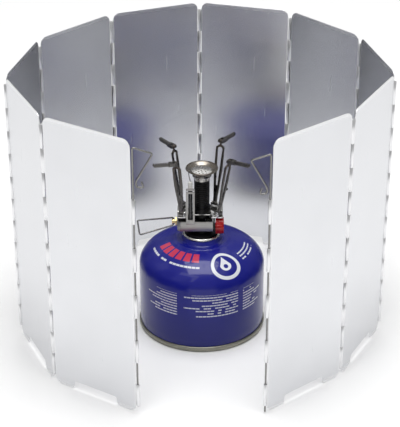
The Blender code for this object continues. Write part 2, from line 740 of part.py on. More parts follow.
def frame_of(x_axis, y_axis, origin):
    """The matrix that puts the XY plane on two directions at a point."""
    z_axis = x_axis.cross(y_axis)
    placing = Matrix((x_axis, y_axis, z_axis)).transposed().to_4x4()
    placing.translation = origin
    return placing


def make_carrier(stove, steel):
    """The plate that holds the arms, with a pair of cheeks for each."""
    left = [x for (x, _), _, _ in ARMS.values() if x < 0]
    right = [x for (x, _), _, _ in ARMS.values() if x > 0]
    low_left, high_left = min(left) - 0.0035, max(left) + 0.0035
    low_right, high_right = min(right) - 0.0035, max(right) + 0.0035
    reach = max(abs(y) for (_, y), _, _ in ARMS.values()) + CARRIER_MARGIN
    bar = VALVE_NECK_RADIUS + 0.0010
    outline = [
        (low_left, -reach), (high_left, -reach), (high_left, -bar),
        (low_right, -bar), (low_right, -reach), (high_right, -reach),
        (high_right, reach), (low_right, reach), (low_right, bar),
        (high_left, bar), (high_left, reach), (low_left, reach),
    ]
    hole = list(arc((0, 0), VALVE_NECK_RADIUS + RUN_GAP, 0, 345, 23))
    middle = Matrix.Translation((0, 0, CARRIER_BASE + CARRIER_SHEET / 2))
    plate = flat([outline, hole], CARRIER_SHEET, middle)
    cheeks, bores = [], []
    for pivot, tip, _ in ARMS.values():
        start, width, lean, _ = arm_axes(pivot, tip)
        low = CARRIER_BASE + CARRIER_SHEET / 2 - PIVOT_Z
        tab = [(-EYE_RADIUS, low), (EYE_RADIUS, low)] + list(arc((0, 0), EYE_RADIUS, 0, 180, 4))
        offset = EYE_LENGTH / 2 + RUN_GAP + CHEEK_THICKNESS / 2
        for side in (-offset, offset):
            cheeks.append(flat([tab], CHEEK_THICKNESS, frame_of(lean, UP, start + side * width)))
        bores.append(round_bar(start - 0.005 * width, start + 0.005 * width, EYE_BORE))
    place("arm_carrier", built(plate, [gathered(cheeks)], [gathered(bores)]), steel, stove)


def arm_mesh(width, along, foot_axis):
    """A slotted arm about its pivot: an eye, a strap with a long slot, and an eye for the foot."""
    length = along.length
    up = along.normalized()
    half, neck, tip_neck = ARM_WIDTH / 2, EYE_LENGTH / 2 - 0.0002, ARM_THICKNESS / 2
    outline = [
        (-neck, EYE_RADIUS / 2), (neck, EYE_RADIUS / 2), (neck, 0.0032), (half, 0.75 * length),
        (half, length - 0.0048), (tip_neck, length - 0.0028), (tip_neck, length - EYE_RADIUS / 2),
        (-tip_neck, length - EYE_RADIUS / 2), (-tip_neck, length - 0.0028), (-half, length - 0.0048),
        (-half, 0.75 * length), (-neck, 0.0032),
    ]
    slot = list(arc((0, ARM_SLOT_START), ARM_SLOT_FOOT_WIDTH / 2, 180, 360, 4))
    slot += arc((0, length - 0.0070), ARM_SLOT_WIDTH / 2, 0, 180, 4)
    strap = flat([outline, slot], ARM_THICKNESS, frame_of(width, up, Vector()))
    eye = round_bar(-width * EYE_LENGTH / 2, width * EYE_LENGTH / 2, EYE_RADIUS)
    reach = foot_axis * TIP_EYE_LENGTH / 2
    tip_eye = round_bar(along - reach, along + reach, EYE_RADIUS)
    bores = [
        round_bar(-width * EYE_LENGTH, width * EYE_LENGTH, EYE_BORE),
        round_bar(along - foot_axis * EYE_LENGTH, along + foot_axis * EYE_LENGTH, EYE_BORE),
    ]
    return built(strap, [eye, tip_eye], bores)


def foot_mesh():
    """A serrated foot along +X from its pivot, forked round the arm's eye, with its pin."""
    root = EYE_RADIUS + 0.0012
    half = FOOT_HEIGHT / 2
    start = root + 0.0022
    tooth = (FOOT_LENGTH - start) / FOOT_TEETH
    blade = [(root, -half), (FOOT_LENGTH - 0.0010, -half), (FOOT_LENGTH, 0)]
    for i in range(FOOT_TEETH, 0, -1):
        x = start + i * tooth
        blade += [(x - 0.1 * tooth, half - TOOTH_DEPTH), (x - 0.3 * tooth, half)]
        blade += [(x - 0.75 * tooth, half), (x - 0.95 * tooth, half - TOOTH_DEPTH)]
    blade += [(start - 0.0002, half), (root, half)]
    cheek_place = TIP_EYE_LENGTH / 2 + RUN_GAP + FORK_CHEEK / 2
    outer = cheek_place + FORK_CHEEK / 2
    cheek = [(start, -half), (start, half)] + list(arc((0, 0), half, 90, 270, 4))
    cheeks = [
        flat([cheek], FORK_CHEEK, Matrix.Translation((0, side, 0)) @ TURN_UPRIGHT)
        for side in (-cheek_place, cheek_place)
    ]
    bridge = block(
        (root, -outer + 0.0001, -half + 0.0002), (start - 0.0002, outer - 0.0001, half - 0.0002)
    )
    pin = round_bar((0, -outer + 0.0001, 0), (0, outer - 0.0001, 0), PIN_RADIUS)
    return built(flat([blade], FOOT_THICKNESS, TURN_UPRIGHT), [bridge, gathered(cheeks), pin])


def make_arms(stove, steel):
    foot = foot_mesh()
    for name, (pivot, tip, foot_turn) in ARMS.items():
        start, width, _, along = arm_axes(pivot, tip)
        heading = math.radians(foot_turn)
        foot_axis = Vector((-math.sin(heading), math.cos(heading), 0))
        arm = place(f"pot_arm_{name}", arm_mesh(width, along, foot_axis), steel, stove, start)
        place(f"pot_foot_{name}", foot, steel, arm, along, foot_turn)
        reach = EYE_LENGTH / 2 + RUN_GAP + CHEEK_THICKNESS
        pin = round_bar(-reach * width, reach * width, PIN_RADIUS)
        place(f"arm_pin_{name}", pin, steel, stove, start)


# ---------------------------------------------------------------- igniter


def make_igniter(stove, steel, white, black, red):
    half = FRAME_WIDTH / 2
    slot = FRAME_SLOT_WIDTH / 2
    low = BRACKET_TOP - FRAME_OVERLAP
    outline = [(-half, low), (half, low), (half, FRAME_TOP), (-half, FRAME_TOP)]
    window = [
        (-slot, low + 0.0045), (slot, low + 0.0045),
        (slot, FRAME_TOP - 0.0046), (-slot, FRAME_TOP - 0.0046),
    ]
    slit = [
        (0.0004 - half, FRAME_TOP - 0.0029), (half - 0.0004, FRAME_TOP - 0.0029),
        (half - 0.0004, FRAME_TOP - 0.0018), (0.0004 - half, FRAME_TOP - 0.0018),
    ]
    frame_y = BRACKET_FRONT - REST_GAP - FRAME_SHEET / 2
    placing = Matrix.Translation((FRAME_X, frame_y, 0)) @ TURN_UPRIGHT
    place("igniter_frame", flat([outline, window, slit], FRAME_SHEET, placing), steel, stove)

    rod_y = BRACKET_FRONT - REST_GAP + CERAMIC_RADIUS + REST_GAP
    rod_foot = (FRAME_X, rod_y, BRACKET_TOP + REST_GAP)
    rod = round_bar(rod_foot, (FRAME_X, rod_y, CERAMIC_TOP), CERAMIC_RADIUS, 12)
    place("ceramic_insulator", rod, white, stove)
    outward = Vector((FRAME_X, rod_y, 0)).normalized()
    beside = outward * (HEAD_RADIUS + ELECTRODE_RADIUS + 3 * REST_GAP)
    rise = UP * (HEAD_TOP + 0.0014)
    path = [
        Vector((FRAME_X, rod_y, CERAMIC_TOP + REST_GAP)), beside + UP * (HEAD_TOP - 0.0022),
        beside + rise, beside + rise - outward * 0.0050,
    ]
    place("electrode", wire(rounded(path, 0.0010, 2), ELECTRODE_RADIUS), steel, stove)

    collar_left = BRACKET_RIGHT + REST_GAP
    collar_right = collar_left + PIEZO_COLLAR_LENGTH
    centre = (PIEZO_Y, BUTTON_Z)
    housing = round_bar((BRACKET_LEFT + 0.011, *centre), (collar_right, *centre), PIEZO_RADIUS, 12)
    collar = round_bar((collar_left, *centre), (collar_right, *centre), PIEZO_COLLAR_RADIUS, 20)
    socket = round_bar((collar_right - 0.0050, *centre), (collar_right + 0.001, *centre), 0.0019, 12)
    place("piezo_unit", built(housing, [collar], [socket]), black, stove)

    back = collar_left + BUTTON_TRAVEL + REST_GAP
    front = back + BUTTON_LENGTH
    cap = round_bar((back, *centre), (front, *centre), BUTTON_RADIUS, 24)
    hollow = round_bar((back - 0.001, *centre), (front - 0.0018, *centre), BUTTON_RADIUS - BUTTON_WALL, 24)
    stem = round_bar((back - 0.0016, *centre), (front - 0.0009, *centre), 0.0015, 12)
    button = built(built(cap, (), [hollow]), [stem])
    place("igniter_button", button, red, stove)


# ---------------------------------------------------------------- the set


clear_scene()
PARTS = new_collection("camping_stove")
TOOLS = new_collection("cutters")
TOOLS.hide_render = True

ALUMINIUM = new_material("satin_aluminium", (0.80, 0.81, 0.82), 0.38, 1.0)
STEEL = new_material("stainless_steel", (0.62, 0.61, 0.58), 0.30, 1.0)
DARK_STEEL = new_material("heat_darkened_steel", (0.22, 0.21, 0.20), 0.38, 1.0)
BRASS = new_material("brass", (0.72, 0.58, 0.30), 0.30, 1.0)
TINPLATE = new_material("tinplate", (0.55, 0.52, 0.46), 0.35, 1.0)
BLACK = new_material("black_anodised", (0.03, 0.03, 0.03), 0.40, 0.3)
RUBBER = new_material("seal_rubber", (0.02, 0.02, 0.02), 0.80, 0.0)
BLUE = new_material("blue_lacquer", (0.03, 0.05, 0.38), 0.22, 0.0)
RED = new_material("red_button", (0.70, 0.02, 0.02), 0.30, 0.0)
WHITE = new_material("white_ceramic", (0.85, 0.84, 0.80), 0.35, 0.0)

STOVE = place_empty("stove_axis", None, (STOVE_X, STOVE_Y, 0))
make_windscreen(STEEL, ALUMINIUM)
make_cartridge(STOVE, BLUE, TINPLATE, STEEL, RUBBER)
make_base(STOVE, BLACK, RUBBER, STEEL)
make_valve(STOVE, BLACK, BRASS, STEEL)
make_mixing_tube(STOVE, BLACK)
make_head(STOVE, STEEL)
make_carrier(STOVE, STEEL)
make_arms(STOVE, DARK_STEEL)
make_igniter(STOVE, STEEL, WHITE, BLACK, RED)
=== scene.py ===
"""Looks of the camping stove set: a gas cartridge, a screw-on burner and a folding windscreen.

Metres, +Z up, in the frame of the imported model. Smooth pieces with their own finishes stand for
the faceted solids and ride on the same bodies.
"""

import json
import math

import bmesh
import bpy
from mathutils import Matrix, Vector

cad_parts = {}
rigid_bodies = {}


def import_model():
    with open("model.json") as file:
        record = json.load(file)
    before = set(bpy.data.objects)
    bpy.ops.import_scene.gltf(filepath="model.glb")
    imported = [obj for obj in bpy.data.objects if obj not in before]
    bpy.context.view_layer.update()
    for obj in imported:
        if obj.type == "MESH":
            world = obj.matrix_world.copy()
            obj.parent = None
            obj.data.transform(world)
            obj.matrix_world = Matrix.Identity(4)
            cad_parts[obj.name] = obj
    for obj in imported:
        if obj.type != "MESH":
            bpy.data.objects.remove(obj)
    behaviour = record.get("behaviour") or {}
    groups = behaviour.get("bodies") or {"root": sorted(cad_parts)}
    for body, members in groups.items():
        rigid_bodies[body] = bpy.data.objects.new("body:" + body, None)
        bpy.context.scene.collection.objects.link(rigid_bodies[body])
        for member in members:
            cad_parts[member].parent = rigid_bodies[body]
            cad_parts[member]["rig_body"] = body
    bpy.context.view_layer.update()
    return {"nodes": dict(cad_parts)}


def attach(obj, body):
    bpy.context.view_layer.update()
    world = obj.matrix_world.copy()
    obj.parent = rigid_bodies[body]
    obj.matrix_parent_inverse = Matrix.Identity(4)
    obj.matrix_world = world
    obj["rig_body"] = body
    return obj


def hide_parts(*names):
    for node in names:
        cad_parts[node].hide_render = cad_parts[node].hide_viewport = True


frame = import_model()

# Windscreen
PLATE_HEIGHT = 0.240
PLATE_PITCH = 0.084
PLATE_THICKNESS = 0.0005
PLATE_CORNER = 0.0065
NOTCH_WIDTH = 0.044
NOTCH_HEIGHT = 0.0075
NOTCH_TAPER = 0.0012
HINGE_TURNS = (32.7, 37.9, 30.6, 25.1, 36.9, 32.3, 28.4, 41.9, 22.4)
BACK_PLATE = 5
BACK_HEADING = -15.7
KNUCKLES = 11
KNUCKLE_RADIUS = 0.0016
WIRE_RADIUS = 0.00075
EDGE_GAP = 0.0003
ROLL_INSET = 0.00020
ROLL_START = 50
ROLL_TURN = 285
JOG_LENGTH = 0.00085
JOG_SHARE = 0.55
NOTCH_ROUND = 0.0016
SHEET_BEVEL = 0.00007
WIRE_END_GAP = 0.0002
PEG_BEND = 0.0017
PEG_TIP = 0.0004
PEG_STAND = 0.0045
PEG_REACH = 0.0148
PEG_LOOP = 0.0328
PEG_DROP = 0.0050
LEFT_PEG_LIFT = 0.0056

# Stove axis and cartridge
STOVE = Matrix.Translation((0.0011, -0.0049, 0))
CAN_RADIUS = 0.0535
CAN_WALL_TOP = 0.0580
CAN_DOME = 0.0260
CAN_SHEET = 0.0006
SEAM_RADIUS = 0.0550
SEAM_HEIGHT = 0.0044
CUP_RADIUS = 0.0163
CUP_TOP = 0.0880
CUP_FLOOR = 0.0816
NIPPLE_TOP = 0.0892
REST_GAP = 0.0003
RUN_GAP = 0.0003
GAS_BORE = 0.0009

# Plain marks on the cartridge: radii from its axis, and turns in radians from its front
DOME_LINE = (0.0585, 0.0590)
TURN_EDGE = 0.004
RED_RADII, RED_TURNS = (0.0282, 0.0368), (-1.36, -0.04)
RED_BLOCKS, RED_SHIFT, RED_BLOCK = 4.55, 0.18, (0.10, 0.86)
LEFT_RADII, LEFT_TURNS = (0.0396, 0.0434), (-1.42, -0.05)
RIGHT_RADII, RIGHT_TURNS = (0.0355, 0.0440), (0.95, 1.55)
EMBLEM_HEIGHT = 0.0752
EMBLEM_ANGLE = math.radians(28.5)
EMBLEM_REACH = 0.0415
EMBLEM_RING = (0.0100, 0.0129)
DROP_RADIUS, DROP_SLOPE = 0.0050, 0.56
DROP_HOLE, DROP_HOLE_DOWN = 0.0020, 0.0010
ROW_PITCH, ROW_HEIGHTS = 0.0026, (0.0335, 0.0556)

# Burner
HUB_TOP = 0.0932
HUB_RADIUS = 0.0083
COLLAR_RADIUS = 0.0140
COLLAR_FLANGE = 0.0011
COLLAR_BORE = 0.0058
COLLAR_GRIPS = 36
BRACKET_BASE = 0.0935
BRACKET_TOP = 0.1026
BRACKET_LEFT = -0.0210
BRACKET_RIGHT = 0.0094
BRACKET_FRONT = -0.0110
BRACKET_BACK = 0.0080
BRACKET_SHEET = 0.0008
BRACKET_BEND = 0.0028
BRACKET_RETURN = 0.0022
BRACKET_INSET = 0.0004
BRACKET_HOLE = 0.0039
SPINDLE_Z = 0.0975
SHOULDER_BASE = 0.1032
SHOULDER_TOP = 0.1060
SHOULDER_RADIUS = 0.0076
CARRIER_BASE = 0.1063
CARRIER_TOP = 0.1073
VALVE_TOP = 0.1130
TUBE_BASE = 0.1076
TUBE_TOP = 0.1376
TUBE_RADIUS = 0.0066
TUBE_BORE = 0.0053
TUBE_FOOT = 0.0050
RIBS, RIB_PITCH, RIB_DEPTH = 12, 0.0018, 0.00042
AIR_HOLE = 0.0017
NECK_BASE = 0.1379
NECK_TOP = 0.1425
NECK_RADIUS = 0.0081
HEAD_BASE = 0.1428
HEAD_TOP = 0.1489
HEAD_RADIUS = 0.0137
HEAD_FOOT_RADIUS = 0.0078
HEAD_WALL = 0.0009
HEAD_WAIST = HEAD_RADIUS - 0.0034
PORT_RINGS = ((16, 0.0079, 0.00062), (11, 0.0054, 0.00078), (6, 0.0029, 0.00078), (1, 0, 0.00078))
SPINDLE_BORE = 0.0020
SPINDLE_ROD = 0.0017
SPINDLE_HEAD = 0.0022
SPINDLE_HEAD_LENGTH = 0.0026
NUT_RADIUS = 0.0042
NUT_LENGTH = 0.0014
HANDLE_WIRE = 0.0007
HANDLE_LENGTH = 0.0320
HANDLE_NEAR = 0.0036
HANDLE_FAR = 0.0071
HANDLE_SLANT = 0.0018
HANDLE_DROP = 0.0009
HANDLE_SWING = 18.5
HANDLE_BEND = 0.0016
PIVOT_Z = 0.1100
TIP_Z = 0.1620
ARM_WIDTH = 0.0074
ARM_THICKNESS = 0.0014
EYE_RADIUS = 0.0017
EYE_LENGTH = 0.0040
TIP_EYE_LENGTH = 0.0024
PIN_RADIUS = 0.0006
PIN_BORE = 0.00085
CHEEK_THICKNESS = 0.0010
CARRIER_MARGIN = 0.0035
CARRIER_REACH = 0.0110
CARRIER_WAIST = 0.0060
CARRIER_HOLE = 0.0053
ARM_SHOULDER = 0.0300
SLOT_FOOT, SLOT_TOP_RADIUS = (0.0165, 0.0007), 0.0021
FOOT_LENGTH = 0.0195
FOOT_THICKNESS = 0.0022
FOOT_HEIGHT = 0.0032
TEETH = 7
TOOTH_DEPTH = 0.0013
FOOT_CHEEK = 0.0008
ARMS = {
    "rear_left": ((-0.0168, 0.0080), (-0.0239, 0.0130), 127.0),
    "front_left": ((-0.0173, -0.0085), (-0.0213, -0.0203), -170.0),
    "rear_right": ((0.0112, 0.0095), (0.0163, 0.0236), 52.0),
    "front_right": ((0.0145, -0.0085), (0.0224, -0.0154), -28.0),
}
FRAME_X = -0.0097
FRAME_WIDTH = 0.0074
FRAME_SHEET = 0.0008
FRAME_TOP = 0.1345
FRAME_LOW = 0.1005
FRAME_SLOT = 0.0021
CERAMIC_RADIUS = 0.0019
CERAMIC_TOP = 0.1400
CERAMIC_GROOVE = 0.0003
ELECTRODE_RADIUS = 0.0004
PIEZO_RADIUS = 0.0030
PIEZO_COLLAR = 0.0065
PIEZO_PROUD = 0.0014
PIEZO_Y = -0.0069
BUTTON_Z = 0.0975
BUTTON_RADIUS = 0.0073
BUTTON_BACK = 0.0116
BUTTON_LENGTH = 0.0071
BUTTON_WALL = 0.0018
FLUTES = 18

# Studio: each light's name, place, size and power, and the camera
LIGHTS = (
    ("top", (0.0, -0.1, 2.2), 1.3, 30.0),
    ("key", (-0.9, -1.2, 2.0), 1.2, 7.0),
    ("fill", (1.3, -0.5, 1.7), 1.2, 4.5),
    ("back", (0.2, 1.8, 1.7), 1.6, 5.0),
)
WORLD_STRENGTH = 0.45
FLOOR_HALF = 6.0
FLOOR_GAP = 0.0002
CAMERA_PLACE = (-0.0020, -1.1078, 0.6909)
CAMERA_DOWN = math.radians(27.98)
CAMERA_TURN = -0.0014
CAMERA_LENS = 123.4

UP = Vector((0, 0, 1))
UPRIGHT = Matrix.Rotation(math.pi / 2, 4, "X")
ALONG_X = Matrix.Rotation(math.pi / 2, 4, "Y")


# ---- finishes


def arithmetic(operation):
    """An operator that adds one math node to a field."""
    return lambda field, other: field.math(operation, other)


class Field:
    """A number that varies over a surface. Arithmetic on it adds math nodes."""

    def __init__(self, finish, socket):
        self.finish = finish
        self.socket = socket

    def math(self, operation, *others, clamp=False):
        node = self.finish.node("Math", dict(enumerate((self, *others))))
        node.operation = operation
        node.use_clamp = clamp
        return Field(self.finish, node.outputs[0])

    __add__, __sub__ = arithmetic("ADD"), arithmetic("SUBTRACT")
    __mul__, __truediv__ = arithmetic("MULTIPLY"), arithmetic("DIVIDE")
    __lt__, __gt__ = arithmetic("LESS_THAN"), arithmetic("GREATER_THAN")
    __pow__ = arithmetic("POWER")

    def step(self, low, high):
        """0 below low, 1 above high, smooth between. High may be the smaller."""
        node = self.finish.node("MapRange", {"Value": self, "From Min": low, "From Max": high})
        node.interpolation_type = "SMOOTHSTEP"
        return Field(self.finish, node.outputs["Result"])

    def clipped(self):
        return self.math("ADD", 0.0, clamp=True)


class Finish:
    """A procedural material."""

    def __init__(self, name, colour, roughness, metallic=0.0, **fixed):
        self.material = bpy.data.materials.new(name)
        self.material.use_nodes = True
        self.tree = self.material.node_tree
        self.shader = self.tree.nodes["Principled BSDF"]
        self.link("Base Color", (*colour, 1))
        self.link("Roughness", roughness)
        self.link("Metallic", metallic)
        for socket, value in fixed.items():
            self.link(socket.replace("_", " ").title().replace("Ior", "IOR"), value)

    def feed(self, socket, value):
        """Set an input, or link it where the value comes from another node."""
        if isinstance(value, Field):
            value = value.socket
        if isinstance(value, bpy.types.NodeSocket):
            self.tree.links.new(value, socket)
        else:
            socket.default_value = value

    def link(self, socket, value):
        self.feed(self.shader.inputs[socket], value)

    def node(self, kind, inputs=None):
        node = self.tree.nodes.new("ShaderNode" + kind)
        for key, value in (inputs or {}).items():
            self.feed(node.inputs[key], value)
        return node

    def coordinates(self, kind="Object"):
        return self.node("TexCoord").outputs[kind]

    def scaled(self, vector, scale):
        node = self.node("VectorMath", {0: vector, 1: scale})
        node.operation = "MULTIPLY"
        return node.outputs[0]

    def split(self, vector):
        return [Field(self, socket) for socket in self.node("SeparateXYZ", {0: vector}).outputs]

    def noise(self, vector, scale, detail=2.0, rough=0.5):
        inputs = {"Vector": vector, "Scale": scale, "Detail": detail, "Roughness": rough}
        return Field(self, self.node("TexNoise", inputs).outputs["Fac"])

    def random(self, field):
        """A random number for each whole number."""
        node = self.node("TexWhiteNoise")
        node.noise_dimensions = "1D"
        self.feed(node.inputs["W"], field)
        return Field(self, node.outputs["Value"])

    def mix(self, factor, low, high):
        """A colour between two, each a colour or another mix."""
        node = self.node("Mix", {"Factor": factor})
        node.data_type = "RGBA"
        for name, value in (("A", low), ("B", high)):
            socket = next(s for s in node.inputs if s.name == name and s.type == "RGBA")
            self.feed(socket, (*value, 1) if isinstance(value, tuple) else value)
        return next(s for s in node.outputs if s.type == "RGBA")

    def bump(self, field, depth, normal=None):
        inputs = {"Distance": depth, "Height": field}
        if normal is not None:
            inputs["Normal"] = normal
        return self.node("Bump", inputs).outputs["Normal"]


def shade(colour, share):
    return tuple(channel * share for channel in colour)


def brushed(name, colour, roughness, grain, spread=0.10, dull=0.72):
    """Drawn or brushed metal: fine lines along one direction, soft blotches and a few scratches."""
    finish = Finish(name, colour, roughness, 1.0)
    place = finish.coordinates()
    lines = finish.noise(finish.scaled(place, grain), 1.0, 3.0, 0.6)
    broad = finish.noise(finish.scaled(place, shade(grain, 0.16)), 1.0, 2.0)
    blotch = finish.noise(place, 55.0, 3.0)
    scratch = finish.noise(finish.scaled(place, (900, 140, 420)), 1.0, 0.0).step(0.71, 0.74)
    tone = (lines * 0.30 + broad * 0.25 + blotch * 0.45).step(0.30, 0.66)
    finish.link("Base Color", finish.mix(tone, shade(colour, dull), colour))
    rough = (lines - 0.5) * spread + (blotch - 0.5) * spread * 1.4 + scratch * 0.06 + roughness
    finish.link("Roughness", rough.clipped())
    finish.link("Normal", finish.bump(lines + broad * 0.6 - scratch * 0.5, 4e-6))
    return finish


def plate_aluminium():
    """Rolled aluminium sheet: faint vertical grain, soft waviness, handling marks and bright cut edges."""
    colour, cut_edge = (0.745, 0.752, 0.772), (0.88, 0.88, 0.88)
    finish = Finish("satin_aluminium", colour, 0.27, 1.0, anisotropic=0.6)
    place = finish.coordinates("UV")
    x, z, _ = finish.split(place)
    grain = finish.noise(finish.scaled(place, (2600, 22, 1)), 1.0, 3.0, 0.6)
    streak = finish.noise(finish.scaled(place, (240, 5, 1)), 1.0, 2.0)
    smear = finish.noise(place, 24.0, 3.0, 0.6)
    wave = finish.noise(place, 13.0, 1.0)
    scratch = finish.noise(finish.scaled(place, (900, 40, 1)), 1.0, 0.0).step(0.80, 0.83)
    from_side = x.math("MINIMUM", x * -1.0 + PLATE_PITCH)
    from_end = z.math("MINIMUM", z * -1.0 + PLATE_HEIGHT)
    wear = (from_side.math("MINIMUM", from_end) + (smear - 0.5) * 0.004).step(0.0040, 0.0012)
    tone = (grain * 0.20 + streak * 0.15 + smear * 0.65).step(0.28, 0.68)
    plain = finish.mix(tone, shade(colour, 0.95), colour)
    finish.link("Base Color", finish.mix(wear * 0.5, plain, cut_edge))
    rough = (grain - 0.5) * 0.05 + (smear - 0.5) * 0.08 + (streak - 0.5) * 0.02
    finish.link("Roughness", (rough + scratch * 0.02 + wear * 0.04 + 0.25).clipped())
    soft = finish.bump(wave, 0.00045)
    finish.link("Normal", finish.bump(grain + streak * 0.25, 1.2e-6, soft))
    return finish


def dashes(finish, along, across, row, length, seed):
    """Rows of short bars: a plain pattern in place of print."""
    line = (across / row).math("FLOOR")
    inside = (across / row).math("FRACT")
    place = along / length + finish.random(line + seed) * 7.0
    shown = finish.random(place.math("FLOOR") * 0.37 + line * 5.3) > 0.08
    return inside.step(0.22, 0.30) * inside.step(0.70, 0.62) * (place.math("FRACT") > 0.10) * shown


def window(field, low, high, soft=0.0002):
    """1 between low and high, 0 outside."""
    return field.step(low - soft, low + soft) * field.step(high + soft, high - soft)


def dome_marks(finish, radius, angle, z):
    """A red arc of blocks, and two white arcs of short bars."""
    on_dome = z.step(*DOME_LINE)
    blocks = window((angle * RED_BLOCKS + RED_SHIFT).math("FRACT"), *RED_BLOCK, 0.02)
    red = window(radius, *RED_RADII) * window(angle, *RED_TURNS, TURN_EDGE) * blocks
    left = window(radius, *LEFT_RADII) * window(angle, *LEFT_TURNS, TURN_EDGE)
    left *= dashes(finish, angle, radius - LEFT_RADII[0], 0.0040, 0.085, 3.0)
    right = window(radius, *RIGHT_RADII) * window(angle, *RIGHT_TURNS, TURN_EDGE)
    right *= dashes(finish, angle, radius - RIGHT_RADII[0], 0.0028, 0.075, 11.0)
    return red * on_dome, (left + right) * on_dome


def emblem(angle, down):
    """A drop in a ring, from its places below and beside the ring's centre."""
    low = down * -0.1 + EMBLEM_DOWN
    across = (angle - EMBLEM_ANGLE) * EMBLEM_REACH
    side = across.math("ABSOLUTE")
    away = (low * low + across * across) ** 0.5
    drop_edge = (DROP_RADIUS + 0.0002, DROP_RADIUS - 0.0002)
    round_half = away.step(*drop_edge) * (low < 0.0)
    pointed_half = (side + low * DROP_SLOPE).step(*drop_edge) * (low > -0.00001)
    from_hole = low + DROP_HOLE_DOWN
    hole = (side * side + from_hole * from_hole) ** 0.5
    hollow = hole.step(DROP_HOLE - 0.0002, DROP_HOLE + 0.0002)
    return (window(away, *EMBLEM_RING) + (round_half + pointed_half) * hollow).clipped()


def wall_rows(finish, angle, z):
    """Three columns of rows of short bars, each ragged along one side."""
    end = finish.random((z / ROW_PITCH).math("FLOOR") + 40.0)
    left = window(angle, -1.12, -0.40, 0.003) * (angle > (end * -0.35 - 0.68))
    middle = window(angle, -0.30, 0.60, 0.003) * (angle > (end * 0.55 - 0.32))
    right = window(angle, 0.70, 1.15, 0.003) * (angle < (end * 0.30 + 0.86))
    bars = dashes(finish, angle, z, ROW_PITCH, 0.060, 20.0)
    return window(z, *ROW_HEIGHTS) * (left + middle + right) * bars


def blue_lacquer():
    """Blue printed tinplate under clear lacquer, with plain generic marks, and painted shade that darkens the
    blue towards the bottom of the wall.
    """
    blue, painted_shade_blue = (0.007, 0.010, 0.235), (0.004, 0.006, 0.130)
    white, red = (0.80, 0.82, 0.86), (0.62, 0.035, 0.075)
    coat = {"coat_weight": 0.65, "coat_roughness": 0.05, "coat_ior": 1.4}
    finish = Finish("blue_lacquer", blue, 0.34, specular_ior_level=0.15, **coat)
    place = finish.coordinates()
    x, y, z = finish.split(place)
    turn, down, _ = finish.split(finish.coordinates("UV"))
    angle = (turn - 0.5) * math.tau
    blotch = finish.noise(place, 40.0, 3.0)
    # Painted shade: the blue darkens from the top of the wall down to the seam.
    base = finish.mix(z.step(0.004, 0.062) * 0.75 + blotch * 0.25, painted_shade_blue, blue)
    red_mark, bar_mark = dome_marks(finish, (x * x + y * y) ** 0.5, angle, z)
    white_mark = emblem(angle, down) * 0.96 + bar_mark * 0.85 + wall_rows(finish, angle, z) * 0.78
    white_mark = white_mark.clipped()
    finish.link("Base Color", finish.mix(white_mark, finish.mix(red_mark * 0.9, base, red), white))
    scuff = finish.noise(finish.scaled(place, (300, 300, 60)), 1.0, 0.0).step(0.73, 0.76)
    finish.link("Roughness", ((blotch - 0.5) * 0.10 + scuff * 0.15 + 0.30).clipped())
    peel = finish.noise(place, 420.0, 2.0)
    soft = finish.bump(finish.noise(place, 60.0, 1.0), 3.0e-5)
    finish.link("Normal", finish.bump(peel + white_mark * 0.5, 4.0e-6, soft))
    finish.link("Coat Normal", finish.bump(peel, 2.5e-6, soft))
    return finish


def black_finish(name, colour, roughness, worn, **fixed):
    """Black anodising, plastic or rubber: fine grain, dust and worn high spots."""
    finish = Finish(name, colour, roughness, **fixed)
    place = finish.coordinates()
    grain = finish.noise(place, 2600.0, 2.0)
    blotch = finish.noise(place, 150.0, 4.0, 0.6)
    rub = finish.noise(finish.scaled(place, (500, 500, 120)), 1.0, 3.0).step(0.60, 0.74)
    finish.link("Base Color", finish.mix(rub * 0.5 + blotch * 0.25, colour, worn))
    finish.link("Roughness", ((blotch - 0.5) * 0.22 + (grain - 0.5) * 0.12 + roughness).clipped())
    finish.link("Normal", finish.bump(grain + blotch * 0.5, 6e-6))
    return finish


def heat_stained(name, colour, warm, cool, roughness, low, high):
    """Steel that has been in the flame: straw, brown and blue tints that deepen with height."""
    finish = Finish(name, colour, roughness, 1.0)
    place = finish.coordinates()
    _, _, z = finish.split(place)
    grain = finish.noise(finish.scaled(place, (1500, 1500, 160)), 1.0, 3.0, 0.6)
    blotch = finish.noise(place, 130.0, 4.0, 0.6)
    heat = (z + (blotch - 0.5) * 0.022).step(low, high)
    plain = finish.mix((grain * 0.5 + blotch * 0.5).step(0.30, 0.70), shade(colour, 0.60), colour)
    tinted = finish.mix((heat * 1.6).clipped(), plain, warm)
    finish.link("Base Color", finish.mix((heat * 2.2 - 1.2).clipped() * 0.7, tinted, cool))
    finish.link("Roughness", ((grain - 0.5) * 0.14 + (blotch - 0.5) * 0.26 + roughness).clipped())
    finish.link("Normal", finish.bump(grain + blotch * 1.4, 7e-6))
    return finish


def red_plastic():
    """Moulded red plastic: fine grain and a slightly uneven tone."""
    dark, bright = (0.30, 0.002, 0.003), (0.45, 0.004, 0.005)
    finish = Finish("red_plastic", bright, 0.30, coat_weight=0.2, coat_roughness=0.08, specular_ior_level=0.3)
    place = finish.coordinates()
    grain = finish.noise(place, 1900.0, 2.0)
    blotch = finish.noise(place, 210.0, 3.0)
    finish.link("Base Color", finish.mix(blotch.step(0.3, 0.7), dark, bright))
    finish.link("Roughness", ((blotch - 0.5) * 0.2 + (grain - 0.5) * 0.08 + 0.27).clipped())
    finish.link("Normal", finish.bump(grain + blotch * 0.7, 5e-6))
    return finish


